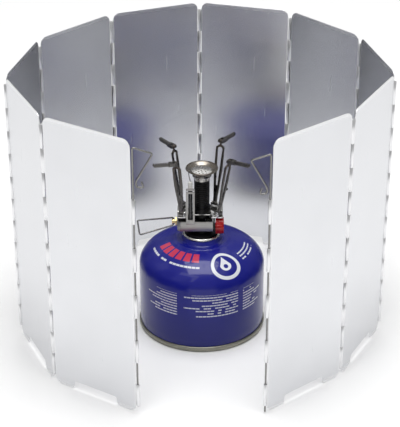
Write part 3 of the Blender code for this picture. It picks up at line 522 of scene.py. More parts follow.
def white_ceramic():
    """White glazed ceramic, stained by heat, with painted shade: black low down, standing for the shadow
    behind the strap.
    """
    glaze, stained, sleeve = (0.86, 0.85, 0.82), (0.60, 0.54, 0.44), (0.012, 0.012, 0.013)
    finish = Finish("white_ceramic", glaze, 0.24, coat_weight=0.5, coat_roughness=0.05)
    place = finish.coordinates()
    _, _, z = finish.split(place)
    speck = finish.noise(place, 1500.0, 3.0)
    stain = finish.noise(place, 240.0, 4.0, 0.6)
    upper = finish.mix(stain.step(0.45, 0.80) * 0.6 + speck * 0.1, glaze, stained)
    # Painted shade: below the top of the strap the rod is coloured black (the colour named sleeve) for the
    # shadow behind the strap; the rod has no sleeve.
    finish.link("Base Color", finish.mix(z.step(0.1338, 0.1330), upper, sleeve))
    finish.link("Roughness", ((stain - 0.5) * 0.25 + 0.26).clipped())
    finish.link("Normal", finish.bump(speck, 5e-6))
    return finish


# ---- mesh tools


def finished(obj, smooth=True):
    """The object's mesh with its modifiers applied, seams welded, faces out, smooth where it curves."""
    bpy.context.scene.collection.objects.link(obj)
    graph = bpy.context.evaluated_depsgraph_get()
    mesh = bpy.data.meshes.new_from_object(obj.evaluated_get(graph))
    bpy.data.objects.remove(obj)
    shape = bmesh.new()
    shape.from_mesh(mesh)
    bmesh.ops.remove_doubles(shape, verts=shape.verts, dist=2e-7)
    bmesh.ops.recalc_face_normals(shape, faces=shape.faces)
    shape.to_mesh(mesh)
    shape.free()
    if smooth:
        mesh.shade_smooth()
        mesh.set_sharp_from_angle(angle=math.radians(32))
    return mesh


def softened(points, radius, closed=True, steps=3, least=18.0):
    """An outline whose sharp corners are short arcs."""
    points = [Vector((*p, 0)).to_2d() if len(p) == 2 else Vector(p) for p in points]
    count = len(points)
    path = []
    for i, corner in enumerate(points):
        if not closed and i in (0, count - 1):
            path.append(corner)
            continue
        before, after = points[i - 1] - corner, points[(i + 1) % count] - corner
        if math.degrees(math.pi - before.angle(after)) < least:
            path.append(corner)
            continue
        reach = min(radius, 0.45 * before.length, 0.45 * after.length)
        start, end = corner + before.normalized() * reach, corner + after.normalized() * reach
        for step in range(steps + 1):
            t = step / steps
            path.append((1 - t) ** 2 * start + 2 * t * (1 - t) * corner + t * t * end)
    return path


def thicken(obj, thickness, offset):
    solidify = obj.modifiers.new("Solidify", "SOLIDIFY")
    solidify.thickness = thickness
    solidify.offset = offset
    solidify.use_even_offset = True


def lathe(profile, segments=96, closed=True, wall=0.0, placing=None):
    """A shape turned about Z. UV holds the share of a turn, and the length along in decimetres."""
    shape = bmesh.new()
    layer = shape.loops.layers.uv.new("UVMap")
    rings, lengths, length = [], [], 0.0
    for i, (radius, height) in enumerate(profile):
        if i:
            length += math.hypot(radius - profile[i - 1][0], height - profile[i - 1][1])
        lengths.append(length * 10)
        if radius < 1e-7:
            rings.append([shape.verts.new((0, 0, height))] * segments)
            continue
        ring = []
        for k in range(segments):
            angle = math.tau * (k / segments - 0.5)
            ring.append(shape.verts.new((radius * math.sin(angle), -radius * math.cos(angle), height)))
        rings.append(ring)
    pairs = [(i, i + 1) for i in range(len(rings) - 1)]
    if closed:
        pairs.append((len(rings) - 1, 0))
    for low, high in pairs:
        for k in range(segments):
            n = (k + 1) % segments
            corners = [(rings[low][k], k, low), (rings[low][n], k + 1, low)]
            corners += [(rings[high][n], k + 1, high), (rings[high][k], k, high)]
            kept = []
            for corner in corners:
                if corner[0] not in [other[0] for other in kept]:
                    kept.append(corner)
            if len(kept) < 3:
                continue
            face = shape.faces.new([corner[0] for corner in kept])
            for loop, (_, column, row) in zip(face.loops, kept):
                loop[layer].uv = (column / segments, lengths[row])
    mesh = bpy.data.meshes.new("turned")
    shape.to_mesh(mesh)
    shape.free()
    obj = bpy.data.objects.new("turned", mesh)
    if wall:
        thicken(obj, wall, -1)
    mesh = finished(obj)
    if placing is not None:
        mesh.transform(placing)
    return mesh


def bar(start, end, radius, segments=32, edge=0.0001):
    """A round bar with softened ends."""
    start, end = Vector(start), Vector(end)
    length = (end - start).length
    profile = [(0, 0), (radius, 0), (radius, length), (0, length)]
    placing = (end - start).to_track_quat("Z", "Y").to_matrix().to_4x4()
    placing.translation = start
    return lathe(softened(profile, edge, closed=False), segments, closed=False, placing=placing)


def bar_x(left, right, radius, y=0.0, z=0.0, **how):
    return bar((left, y, z), (right, y, z), radius, **how)


def sheet(outlines, thickness, placing=None, edge=0.00012):
    """A flat piece about the XY plane with softened edges: an outline and any holes."""
    curve = bpy.data.curves.new("outline", "CURVE")
    curve.dimensions = "2D"
    curve.fill_mode = "BOTH"
    curve.extrude = thickness / 2 - edge
    curve.bevel_depth = edge
    curve.bevel_resolution = 1
    curve.offset = -edge
    for outline in outlines:
        spline = curve.splines.new("POLY")
        spline.points.add(len(outline) - 1)
        for point, place in zip(spline.points, outline):
            point.co = (place[0], place[1], 0, 1)
        spline.use_cyclic_u = True
    mesh = finished(bpy.data.objects.new("outline", curve))
    if placing is not None:
        mesh.transform(placing)
    return mesh


def wire(points, radius, sides=4):
    """A bent wire along points, with rounded ends."""
    points = [Vector(p) for p in points]
    cut = radius * 0.8
    first = points[0] + (points[1] - points[0]).normalized() * cut
    last = points[-1] + (points[-2] - points[-1]).normalized() * cut
    shares, ends = (0.0, 0.12, 0.45), [0.02] + [math.sqrt(1 - (1 - share) ** 2) for share in (0.12, 0.45)]
    path = [points[0].lerp(first, share) for share in shares] + [first, *points[1:-1], last]
    path += [points[-1].lerp(last, share) for share in reversed(shares)]
    sizes = ends + [1.0] * len(points) + ends[::-1]
    curve = bpy.data.curves.new("wire", "CURVE")
    curve.dimensions = "3D"
    curve.bevel_depth = radius
    curve.bevel_resolution = sides
    curve.use_fill_caps = True
    spline = curve.splines.new("POLY")
    spline.points.add(len(path) - 1)
    for point, place, size in zip(spline.points, path, sizes):
        point.co = (*place, 1)
        point.radius = size
    return finished(bpy.data.objects.new("wire", curve))


def gathered(meshes):
    """Several meshes as one."""
    shape = bmesh.new()
    for mesh in meshes:
        shape.from_mesh(mesh)
    whole = bpy.data.meshes.new("gathered")
    shape.to_mesh(whole)
    shape.free()
    return whole


def built(base, joins=(), cuts=()):
    """The base with shapes joined to it, and then others cut from it."""
    obj = bpy.data.objects.new("built", base)
    tools = []
    for operation, meshes in (("UNION", joins), ("DIFFERENCE", cuts)):
        for mesh in meshes:
            tool = bpy.data.objects.new("tool", mesh)
            bpy.context.scene.collection.objects.link(tool)
            tools.append(tool)
            step = obj.modifiers.new(operation, "BOOLEAN")
            step.operation = operation
            step.solver = "EXACT"
            step.object = tool
    mesh = finished(obj)
    for tool in tools:
        bpy.data.objects.remove(tool)
    return mesh


def around(count, radius, shift=0.0):
    """Points evenly round a circle."""
    for i in range(count):
        angle = math.tau * (i + shift) / count
        yield radius * math.cos(angle), radius * math.sin(angle)


def arc(centre, radius, start, end, steps):
    """Points on a circle from one angle to another, in degrees."""
    for i in range(steps + 1):
        angle = math.radians(start + (end - start) * i / steps)
        yield (centre[0] + radius * math.cos(angle), centre[1] + radius * math.sin(angle))


def frame_of(x_axis, y_axis, origin):
    """A placing whose X and Y lie along two directions."""
    placing = Matrix((x_axis, y_axis, x_axis.cross(y_axis))).transposed().to_4x4()
    placing.translation = origin
    return placing


def show(name, mesh, finish, node, placing=STOVE):
    """A visible piece that stands for a node and rides on its body."""
    look, slot = FINISHES[finish]
    mesh.materials.clear()
    mesh.materials.append(look.material)
    obj = bpy.data.objects.new(name, mesh)
    bpy.context.scene.collection.objects.link(obj)
    obj.matrix_world = placing
    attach(obj, frame["nodes"][node]["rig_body"])
    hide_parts(node)


def keep(node, finish):
    """A node whose own shape stays, in a better finish."""
    obj = frame["nodes"][node]
    obj.data.materials.clear()
    obj.data.materials.append(FINISHES[finish][0].material)


# ---- windscreen

HINGE_BASE = PLATE_CORNER + EDGE_GAP
KNUCKLE_PITCH = (PLATE_HEIGHT - 2 * HINGE_BASE) / KNUCKLES


def knuckle_span(index):
    low = HINGE_BASE + index * KNUCKLE_PITCH
    return low + EDGE_GAP / 2, low + KNUCKLE_PITCH - EDGE_GAP / 2


def roll_path():
    """From the sheet's edge round the hinge wire, as (out from the axis, across) points."""
    middle = KNUCKLE_RADIUS - PLATE_THICKNESS / 2 - ROLL_INSET
    for i in range(5):
        t = i / 4
        yield (KNUCKLE_RADIUS + EDGE_GAP - 0.0001 - JOG_LENGTH * t, middle * JOG_SHARE * t * t)
    yield from arc((0, 0), middle, ROLL_START, ROLL_START + ROLL_TURN, 24)


def plate_mesh(left, right):
    """A plate between two hinge axes: one sheet whose tabs roll round the wires."""
    shape = bmesh.new()
    edge = KNUCKLE_RADIUS + EDGE_GAP
    far = PLATE_PITCH - edge
    corner = PLATE_CORNER
    outline, rolls = [], []

    def add(points):
        made = [shape.verts.new((x, 0, z)) for x, z in points]
        outline.extend(made)
        return made

    add(arc((edge + corner, corner), corner, 270, 180, 8))
    for index in left:
        low, high = knuckle_span(index)
        rolls.append((*add([(edge, low), (edge, high)]), 0, 1))
    add(arc((edge + corner, PLATE_HEIGHT - corner), corner, 180, 90, 8))
    add(arc((far - corner, PLATE_HEIGHT - corner), corner, 90, 0, 8))
    for index in reversed(right):
        low, high = knuckle_span(index)
        top, foot = add([(far, high), (far, low)])
        rolls.append((foot, top, PLATE_PITCH, -1))
    add(arc((far - corner, corner), corner, 0, -90, 8))
    middle, half = PLATE_PITCH / 2, NOTCH_WIDTH / 2
    notch = [(middle + half, 0), (middle + half - NOTCH_TAPER, NOTCH_HEIGHT)]
    notch += [(middle - half + NOTCH_TAPER, NOTCH_HEIGHT), (middle - half, 0)]
    notch = softened([(far, 0), *notch, (edge, 0)], NOTCH_ROUND, closed=False, steps=5)
    add([tuple(p) for p in notch[1:-1]])
    shape.faces.new(outline)
    for foot, top, axis, way in rolls:
        for out, across in roll_path():
            x = axis + way * out
            next_foot = shape.verts.new((x, across, foot.co.z))
            next_top = shape.verts.new((x, across, top.co.z))
            shape.faces.new([foot, top, next_top, next_foot]).smooth = True
            foot, top = next_foot, next_top
    bmesh.ops.recalc_face_normals(shape, faces=shape.faces)
    mesh = bpy.data.meshes.new("plate")
    shape.to_mesh(mesh)
    shape.free()
    obj = bpy.data.objects.new("plate", mesh)
    thicken(obj, PLATE_THICKNESS, 0)
    bevel = obj.modifiers.new("Bevel", "BEVEL")
    bevel.width = SHEET_BEVEL
    bevel.segments = 1
    bevel.limit_method = "ANGLE"
    bevel.angle_limit = math.radians(60)
    mesh = finished(obj, smooth=False)
    sheet_uv = mesh.uv_layers.new(name="Sheet")
    for loop in mesh.loops:
        spot = mesh.vertices[loop.vertex_index].co
        sheet_uv.data[loop.index].uv = (spot.x, spot.z)
    return mesh


def plate_headings():
    headings = [BACK_HEADING] * 10
    for plate in range(BACK_PLATE + 1, 10):
        headings[plate] = headings[plate - 1] - HINGE_TURNS[plate - 1]
    for plate in range(BACK_PLATE - 1, -1, -1):
        headings[plate] = headings[plate + 1] + HINGE_TURNS[plate]
    return headings


def hinge_axes():
    axes = [Vector((0, 0, 0))]
    for heading in plate_headings():
        angle = math.radians(heading)
        axes.append(axes[-1] + PLATE_PITCH * Vector((math.cos(angle), math.sin(angle), 0)))
    middle = Vector([(min(a[i] for a in axes) + max(a[i] for a in axes)) / 2 for i in range(3)])
    return [axis - middle for axis in axes]


def turned_at(place, degrees):
    return Matrix.Translation(place) @ Matrix.Rotation(math.radians(degrees), 4, "Z")


def make_windscreen():
    evens, odds = list(range(0, KNUCKLES, 2)), list(range(1, KNUCKLES, 2))
    axes, headings = hinge_axes(), plate_headings()
    meshes = {
        0: plate_mesh(evens[:-1], odds),
        9: plate_mesh(evens, evens[:-1]),
        "between": plate_mesh(evens, odds),
    }
    for plate in range(10):
        mesh = meshes.get(plate, meshes["between"]).copy()
        mesh.transform(turned_at(axes[plate], headings[plate]))
        name = f"plate_{plate + 1:02d}"
        show(f"screen_{name}", mesh, "satin_aluminium", f"windscreen_{name}", Matrix())
    low, high = HINGE_BASE + WIRE_END_GAP, PLATE_HEIGHT - HINGE_BASE - WIRE_END_GAP
    hinge_wire = wire([(0, 0, low), (0, 0, high)], WIRE_RADIUS)
    for hinge in range(1, 10):
        place = turned_at(axes[hinge], headings[hinge])
        show(f"screen_hinge_wire_{hinge}", hinge_wire, "stainless_wire", f"hinge_wire_{hinge}", place)
    foot = knuckle_span(KNUCKLES - 3)[1] + PEG_STAND
    top = foot + PEG_LOOP
    corners = [
        (0, 0, PEG_TIP), (0, 0, top), (PEG_REACH, 0, top - PEG_DROP), (0.0021, 0, foot + 0.0048),
        (0.0026, 0, foot + 0.0006), (0.0078, 0, foot), (0.0063, 0, foot + 0.0052),
    ]
    peg = wire(softened(corners, PEG_BEND, closed=False, steps=6), WIRE_RADIUS)
    for side, axis, turn in (("left", axes[0] + UP * LEFT_PEG_LIFT, 0), ("right", axes[10], 180)):
        show(f"screen_peg_{side}", peg, "stainless_wire", f"ground_peg_{side}", turned_at(axis, turn))


# ---- cartridge


def dome_height(radius):
    return CAN_WALL_TOP + CAN_DOME * math.sqrt(1 - (radius / CAN_RADIUS) ** 2)


def shell_profile():
    """The cartridge's outer surface from its neck down to its seam."""
    neck = [(CUP_RADIUS - 0.0013, CUP_TOP - 0.0023), (CUP_RADIUS - 0.0004, CUP_TOP - 0.0032)]
    neck += [(CUP_RADIUS + 0.0003, CUP_TOP - 0.0046), (CUP_RADIUS + 0.0012, CUP_TOP - 0.0056)]
    bead = []
    for i in range(13):
        radius = CUP_RADIUS + 0.0021 + 0.0054 * i / 12
        lift = 0.00035 * math.sin(math.pi * (i / 12) * 2 - math.pi) * (1 if i > 6 else 1.2)
        bead.append((radius, dome_height(radius) + lift))
    start = bead[-1][0]
    last = math.acos(start / CAN_RADIUS)
    dome = []
    for i in range(1, 33):
        angle = last * (1 - i / 32)
        dome.append((CAN_RADIUS * math.cos(angle), CAN_WALL_TOP + CAN_DOME * math.sin(angle)))
    wall = [(CAN_RADIUS, CAN_WALL_TOP * (1 - i / 8) + 0.0064 * i / 8) for i in range(1, 9)]
    foot = [(CAN_RADIUS - 0.0003, 0.0056), (CAN_RADIUS - 0.0003, SEAM_HEIGHT + REST_GAP)]
    return neck + bead + dome + wall + foot


def profile_length(profile, height):
    """The length along the profile down to a height."""
    length = 0.0
    for (r0, z0), (r1, z1) in zip(profile, profile[1:]):
        length += math.hypot(r1 - r0, z1 - z0)
        if z1 <= height and r1 > CAN_RADIUS / 2:
            break
    return length


EMBLEM_DOWN = profile_length(shell_profile(), EMBLEM_HEIGHT)


def make_cartridge():
    shell = lathe(shell_profile(), 160, False, CAN_SHEET)
    show("cartridge_shell", shell, "blue_lacquer", "cartridge_body")
    seam = SEAM_RADIUS
    base = [
        (0, 0.0128), (0.020, 0.0122), (0.040, 0.0096), (seam - 0.0046, 0.0052),
        (seam - 0.0025, SEAM_HEIGHT - 0.0001), (seam - 0.0007, SEAM_HEIGHT), (seam, SEAM_HEIGHT - 0.0007),
        (seam - 0.00012, 0.0022), (seam, 0.0009), (seam - 0.0008, 0), (seam - 0.0024, 0),
        (seam - 0.0032, 0.0008), (seam - 0.0044, 0.0038), (0.047, 0.0056), (0.040, 0.0088), (0.020, 0.0114),
        (0, 0.0120),
    ]
    base = softened(base, 0.0007, closed=False, steps=4, least=10)
    show("cartridge_seam", lathe(base, 160, False), "tinplate", "cartridge_base")

    inner, wall, lip = 0.0046, CUP_RADIUS - 0.0027, GAS_BORE + 0.0015
    cup = [
        (CUP_RADIUS, CUP_TOP - 0.0009), (CUP_RADIUS, CUP_TOP - 0.0020), (wall + 0.0006, CUP_TOP - 0.0020),
        (wall + 0.0006, CUP_FLOOR - 0.0006), (inner, CUP_FLOOR - 0.0006), (inner, NIPPLE_TOP - 0.0009),
        (lip, NIPPLE_TOP - 0.0009), (lip, NIPPLE_TOP), (0.0055, NIPPLE_TOP), (0.0055, CUP_FLOOR),
        (wall, CUP_FLOOR), (wall, CUP_TOP - 0.0009), (wall + 0.0010, CUP_TOP), (CUP_RADIUS - 0.0010, CUP_TOP),
    ]
    show("cartridge_cup", lathe(softened(cup, 0.0006, steps=4), 96), "bright_tinplate", "valve_cup")
    for node, finish in (
        ("valve_gasket", "rubber"), ("valve_stem", "stainless_wire"),
        ("valve_spring_seat", "tinplate"), ("valve_spring", "stainless_wire"),
    ):
        keep(node, finish)


# ---- burner


def make_base():
    """The black collar that screws on to the cartridge, and its seal."""
    low, nipple = CUP_TOP + REST_GAP, NIPPLE_TOP + 0.0018
    flange_top = low + COLLAR_FLANGE
    skirt, skirt_end = CUP_RADIUS - 0.0033, CUP_FLOOR + 0.0030
    collar = [
        (HUB_RADIUS, HUB_TOP), (HUB_RADIUS, flange_top), (COLLAR_RADIUS, flange_top), (COLLAR_RADIUS, low),
        (skirt, low), (skirt, skirt_end), (COLLAR_BORE, skirt_end), (COLLAR_BORE, nipple),
        (GAS_BORE, nipple), (GAS_BORE, HUB_TOP),
    ]
    grips = []
    for x, y in around(COLLAR_GRIPS, COLLAR_RADIUS + 0.0002):
        grips.append(bar((x, y, CUP_TOP), (x, y, flange_top + 0.001), 0.00038, 8, 0.00002))
    collar = built(lathe(softened(collar, 0.0003), 96), (), [gathered(grips)])
    show("burner_collar", collar, "black_anodised", "base_collar")
    ring = list(arc((0.0043, 0.0901), 0.0006, 0, 345, 23))
    show("burner_seal", lathe(ring, 48), "rubber", "seal_ring")


def bracket_wall(y, way):
    """One side of the bracket, bent in at its left end."""
    left, half = BRACKET_LEFT + BRACKET_SHEET / 2, BRACKET_SHEET / 2
    bend = arc((left + BRACKET_BEND, -BRACKET_BEND), BRACKET_BEND, 90, 180, 9)
    line = [(BRACKET_RIGHT, y), *((x, y - way * out) for x, out in bend)]
    line.append((left, y + way * (BRACKET_BEND + BRACKET_RETURN)))
    line = [Vector(p) for p in line]
    sides = ([], [])
    for i, point in enumerate(line):
        along = (line[min(i + 1, len(line) - 1)] - line[max(i - 1, 0)]).normalized()
        across = Vector((-along.y, along.x)) * half
        sides[0].append(point + across)
        sides[1].append(point - across)
    place = Matrix.Translation((0, 0, (BRACKET_BASE + BRACKET_TOP) / 2))
    return sheet([sides[0] + sides[1][::-1]], BRACKET_TOP - BRACKET_BASE, place, 0.0002)


def make_bracket():
    half, inset = BRACKET_SHEET / 2, BRACKET_INSET
    left, front, back = BRACKET_LEFT + inset, BRACKET_FRONT + inset, BRACKET_BACK - inset
    walls = [bracket_wall(BRACKET_FRONT + half, 1), bracket_wall(BRACKET_BACK - half, -1)]
    floor = [(left, front), (BRACKET_RIGHT, front), (BRACKET_RIGHT, back), (left, back)]
    outlines = [softened(floor, 0.0026, steps=8), list(arc((0, 0), BRACKET_HOLE, 0, 350, 35))]
    place = Matrix.Translation((0, 0, BRACKET_BASE + half))
    bracket = built(sheet(outlines, BRACKET_SHEET, place), walls)
    show("burner_bracket", bracket, "brushed_stainless", "bracket")


def make_valve():
    """The valve body, its packing nut, and the spindle with its wire handle and the jet."""
    body = lathe(softened([
        (0.0050, VALVE_TOP), (0.0050, SHOULDER_TOP), (SHOULDER_RADIUS, SHOULDER_TOP),
        (SHOULDER_RADIUS, SHOULDER_BASE), (0.0036, SHOULDER_BASE), (0.0036, BRACKET_BASE),
        (GAS_BORE, BRACKET_BASE), (GAS_BORE, VALVE_TOP),
    ], 0.00035), 64)
    gland_end, bore_end = BRACKET_LEFT + 0.0002, -GAS_BORE - 0.0012
    gland = bar_x(bore_end, gland_end, SPINDLE_BORE + 0.0009, z=SPINDLE_Z)
    drilled = bar_x(bore_end, gland_end - 0.001, SPINDLE_BORE, z=SPINDLE_Z)
    show("burner_valve_body", built(body, [gland], [drilled]), "black_anodised", "valve_body")

    right = BRACKET_LEFT - REST_GAP
    left = right - NUT_LENGTH
    turn = Matrix.Translation(((right + left) / 2, 0, 0)) @ ALONG_X
    hexagon = sheet([softened(list(around(6, NUT_RADIUS)), 0.0004)], NUT_LENGTH, turn, 0.00020)
    nut = built(hexagon, (), [bar_x(right + 0.001, left - 0.001, SPINDLE_BORE)])
    nut.transform(Matrix.Translation((0, 0, SPINDLE_Z)))
    show("burner_packing_nut", nut, "brass", "packing_nut")

    head_right = left - RUN_GAP
    pivot = head_right - SPINDLE_HEAD_LENGTH / 2
    half = SPINDLE_HEAD_LENGTH / 2
    place = STOVE @ Matrix.Translation((pivot, 0, SPINDLE_Z))
    rod = bar_x(bore_end - RUN_GAP - pivot, 0, SPINDLE_ROD)
    head = bar_x(half, -half, SPINDLE_HEAD, segments=40, edge=0.0003)
    hole = bar((0, 0, -0.004), (0, 0, 0.004), 0.0010, 24)
    show("burner_spindle", built(rod, [head], [hole]), "brass", "valve_spindle", place)
    path = softened([
        (0, 0, 0.0004), (0, 0, HANDLE_NEAR), (-HANDLE_LENGTH, 0, HANDLE_FAR - HANDLE_DROP),
        (HANDLE_SLANT - HANDLE_LENGTH, 0, -HANDLE_FAR - HANDLE_DROP), (0, 0, -HANDLE_NEAR), (0, 0, -0.0004),
    ], HANDLE_BEND, closed=False, steps=6)
    turn = Matrix.Rotation(math.radians(HANDLE_SWING), 4, "Z")
    show("burner_handle", wire(path, HANDLE_WIRE), "stainless_wire", "valve_handle", place @ turn)
    top = VALVE_TOP + 0.0030
    jet = [
        (0.0012, top), (0.0020, VALVE_TOP + 0.0012), (0.0020, VALVE_TOP + REST_GAP),
        (0.0005, VALVE_TOP + REST_GAP), (0.0005, top),
    ]
    show("burner_jet", lathe(softened(jet, 0.0002), 40), "brass", "gas_jet")


def make_tube_and_neck():
    """The ribbed mixing tube with its air holes, and the stepped collar on it."""
    foot_top, groove = TUBE_BASE + TUBE_FOOT, TUBE_RADIUS - RIB_DEPTH
    profile = [(TUBE_RADIUS, TUBE_TOP)]
    for rib in range(RIBS):
        z = TUBE_TOP - 0.0012 - rib * RIB_PITCH
        profile += [(TUBE_RADIUS, z), (groove, z - 0.0002), (groove, z - 0.0007), (TUBE_RADIUS, z - 0.0009)]
    profile += [
        (TUBE_RADIUS, foot_top), (SHOULDER_RADIUS, foot_top), (SHOULDER_RADIUS, TUBE_BASE),
        (TUBE_BORE, TUBE_BASE), (TUBE_BORE, TUBE_TOP),
    ]
    air, reach = VALVE_TOP + 0.0026, 2 * TUBE_RADIUS
    holes = bar_x(-reach, reach, AIR_HOLE, z=air)
    tube = built(lathe(softened(profile, 0.00022, steps=2), 72), (), [holes])
    show("burner_tube", tube, "black_anodised", "mixing_tube")

    step, sleeve = NECK_BASE + 0.0026, TUBE_RADIUS + 0.0002
    neck = [
        (NECK_RADIUS, NECK_TOP), (NECK_RADIUS, step + 0.0006), (sleeve, step),
        (sleeve, NECK_BASE), (TUBE_BORE, NECK_BASE), (TUBE_BORE, NECK_TOP),
    ]
    show("burner_neck", lathe(softened(neck, 0.0004), 80), "turned_stainless", "neck_collar")


def make_head():
    """The flared dish, and the flame plate with its rings of ports."""
    foot, rim, inner = HEAD_BASE + 0.0006, HEAD_RADIUS, HEAD_RADIUS - HEAD_WALL
    dish = [
        (rim - 0.0004, HEAD_TOP), (rim, HEAD_TOP - 0.0004), (rim, HEAD_TOP - 0.0012),
        (rim - 0.0016, HEAD_TOP - 0.0022), (HEAD_WAIST, HEAD_TOP - 0.0030), (HEAD_FOOT_RADIUS, foot),
        (HEAD_FOOT_RADIUS, HEAD_BASE), (TUBE_BORE, HEAD_BASE), (TUBE_BORE, foot + HEAD_WALL),
        (HEAD_FOOT_RADIUS - HEAD_WALL, foot + HEAD_WALL), (HEAD_WAIST - HEAD_WALL, HEAD_TOP - 0.0027),
        (inner - 0.0018, HEAD_TOP - 0.0016), (inner, HEAD_TOP - 0.0007), (inner, HEAD_TOP),
    ]
    show("burner_dish", lathe(softened(dish, 0.0004), 128), "flame_stained", "burner_head")
    z, edge = HEAD_TOP - 0.0025, HEAD_WAIST - HEAD_WALL - REST_GAP
    near, far = edge * 0.45, edge * 0.8
    crown = [
        (0, z + 0.0012), (near, z + 0.0010), (far, z + 0.0006), (edge, z + 0.0003),
        (edge, z - 0.0002), (far, z), (near, z + 0.0004), (0, z + 0.0006),
    ]
    holes = []
    for count, radius, size in PORT_RINGS:
        for x, y in around(count, radius, 0.3):
            holes.append(bar((x, y, z - 0.001), (x, y, z + 0.0026), size, 16, 0.00002))
    crown = lathe(softened(crown, 0.0003, closed=False), 96, False)
    show("burner_flame_plate", built(crown, (), [gathered(holes)]), "bright_stainless", "flame_plate")


# ---- pot supports


def arm_axes(pivot, tip):
    """Where an arm starts, and the directions across it, outwards from it and along it."""
    start, end = Vector((*pivot, PIVOT_Z)), Vector((*tip, TIP_Z))
    along = end - start
    lean = Vector((along.x, along.y, 0)).normalized()
    return start, UP.cross(lean), lean, along


def make_carrier():
    """The plate that carries the arms, with a pair of cheeks for each."""
    left = [x for (x, _), _, _ in ARMS.values() if x < 0]
    right = [x for (x, _), _, _ in ARMS.values() if x > 0]
    x1, x2 = min(left) - CARRIER_MARGIN, max(left) + CARRIER_MARGIN
    x3, x4 = min(right) - CARRIER_MARGIN, max(right) + CARRIER_MARGIN
    reach, half = CARRIER_REACH, CARRIER_WAIST
    outline = [
        (x1, -reach), (x2, -reach), (x2, -half), (x3, -half), (x3, -reach), (x4, -reach),
        (x4, reach), (x3, reach), (x3, half), (x2, half), (x2, reach), (x1, reach),
    ]
    hole = list(arc((0, 0), CARRIER_HOLE, 0, 352, 44))
    place = Matrix.Translation((0, 0, (CARRIER_BASE + CARRIER_TOP) / 2))
    plate = sheet([softened(outline, 0.0009), hole], CARRIER_TOP - CARRIER_BASE, place)
    cheeks, bores = [], []
    low = CARRIER_BASE + 0.0005 - PIVOT_Z
    tab = [(-EYE_RADIUS, low), (EYE_RADIUS, low), *arc((0, 0), EYE_RADIUS, 0, 180, 16)]
    offset = EYE_LENGTH / 2 + RUN_GAP + CHEEK_THICKNESS / 2
    for pivot, tip, _ in ARMS.values():
        start, width, lean, _ = arm_axes(pivot, tip)
        for side in (-offset, offset):
            cheeks.append(sheet([tab], CHEEK_THICKNESS, frame_of(lean, UP, start + side * width)))
        bores.append(bar(start - 0.005 * width, start + 0.005 * width, PIN_BORE, 20, 0.00002))
    mesh = built(plate, [gathered(cheeks)], [gathered(bores)])
    show("burner_arm_carrier", mesh, "bright_stainless", "arm_carrier")


def arm_mesh(width, along, foot_axis, stub):
    """A slotted arm that widens upwards, with an eye at each end."""
    length, up = along.length, along.normalized()
    half, neck, tip_neck = ARM_WIDTH / 2, EYE_LENGTH / 2 - 0.0002, ARM_THICKNESS / 2
    right = [
        (neck, EYE_RADIUS / 2), (neck, 0.0060), (half, ARM_SHOULDER), (half, length - 0.0048),
        (tip_neck, length - 0.0028), (tip_neck, length - EYE_RADIUS / 2),
    ]
    outline = right + [(-x, y) for x, y in reversed(right)]
    foot_y, foot_radius = SLOT_FOOT
    slot = [*arc((0, foot_y), foot_radius, 180, 360, 8)]
    slot += arc((0, length - 0.0070), SLOT_TOP_RADIUS, 0, 180, 16)
    strap = sheet([softened(outline, 0.0008), slot], ARM_THICKNESS, frame_of(width, up, Vector()), 0.0002)
    eye = bar(-width * EYE_LENGTH / 2, width * EYE_LENGTH / 2, EYE_RADIUS)
    tip_eye = bar(along - foot_axis * TIP_EYE_LENGTH / 2, along + foot_axis * TIP_EYE_LENGTH / 2, EYE_RADIUS)
    joins = [eye, tip_eye]
    if stub:
        out = width.cross(up) * 0.0001
        side = width * (half - 0.0004) + up * 0.0230
        joins.append(bar(side, side + width * 0.0022 - up * 0.0006, 0.0008, 20, 0.0002))
        joins.append(bar(side + out, side + out + up * 0.0001 + width * 0.0016, 0.0011, 20, 0.0002))
    bores = [
        bar(-width * EYE_LENGTH, width * EYE_LENGTH, PIN_BORE, 20, 0.00002),
        bar(along - foot_axis * EYE_LENGTH, along + foot_axis * EYE_LENGTH, PIN_BORE, 20, 0.00002),
    ]
    return built(strap, joins, bores)


def foot_mesh():
    """A serrated foot along +X from its pivot, forked round the arm's eye, with its pin."""
    root, half = EYE_RADIUS + 0.0012, FOOT_HEIGHT / 2
    start = root + 0.0022
    tooth, gullet = (FOOT_LENGTH - start) / TEETH, half - TOOTH_DEPTH
    blade = [(root, -half), (FOOT_LENGTH - 0.0016, -half), (FOOT_LENGTH, -0.0002)]
    for i in range(TEETH, 0, -1):
        for share, y in ((0.06, gullet), (0.32, half), (0.66, half), (0.90, gullet)):
            blade.append((start + (i - share) * tooth, y))
    blade += [(start - 0.0002, half), (root, half)]
    offset = TIP_EYE_LENGTH / 2 + RUN_GAP + FOOT_CHEEK / 2
    cheek = [(start + 0.0016, -half), (start + 0.0008, half - 0.0002), *arc((0, 0), half, 90, 270, 16)]
    cheeks = [sheet([cheek], FOOT_CHEEK, Matrix.Translation((0, y, 0)) @ UPRIGHT) for y in (-offset, offset)]
    end, low, high = start - 0.0002, 0.0002 - half, half - 0.0002
    bridge = softened([(root, low), (end, low), (end, high), (root, high)], 0.0002)
    pin = bar((0, -offset - 0.0003, 0), (0, offset + 0.0003, 0), PIN_RADIUS, 24)
    strip = sheet([softened(blade, 0.00012, steps=2)], FOOT_THICKNESS, UPRIGHT, 0.00006)
    return built(strip, [sheet([bridge], 2 * offset + 0.0006, UPRIGHT), gathered(cheeks), pin])


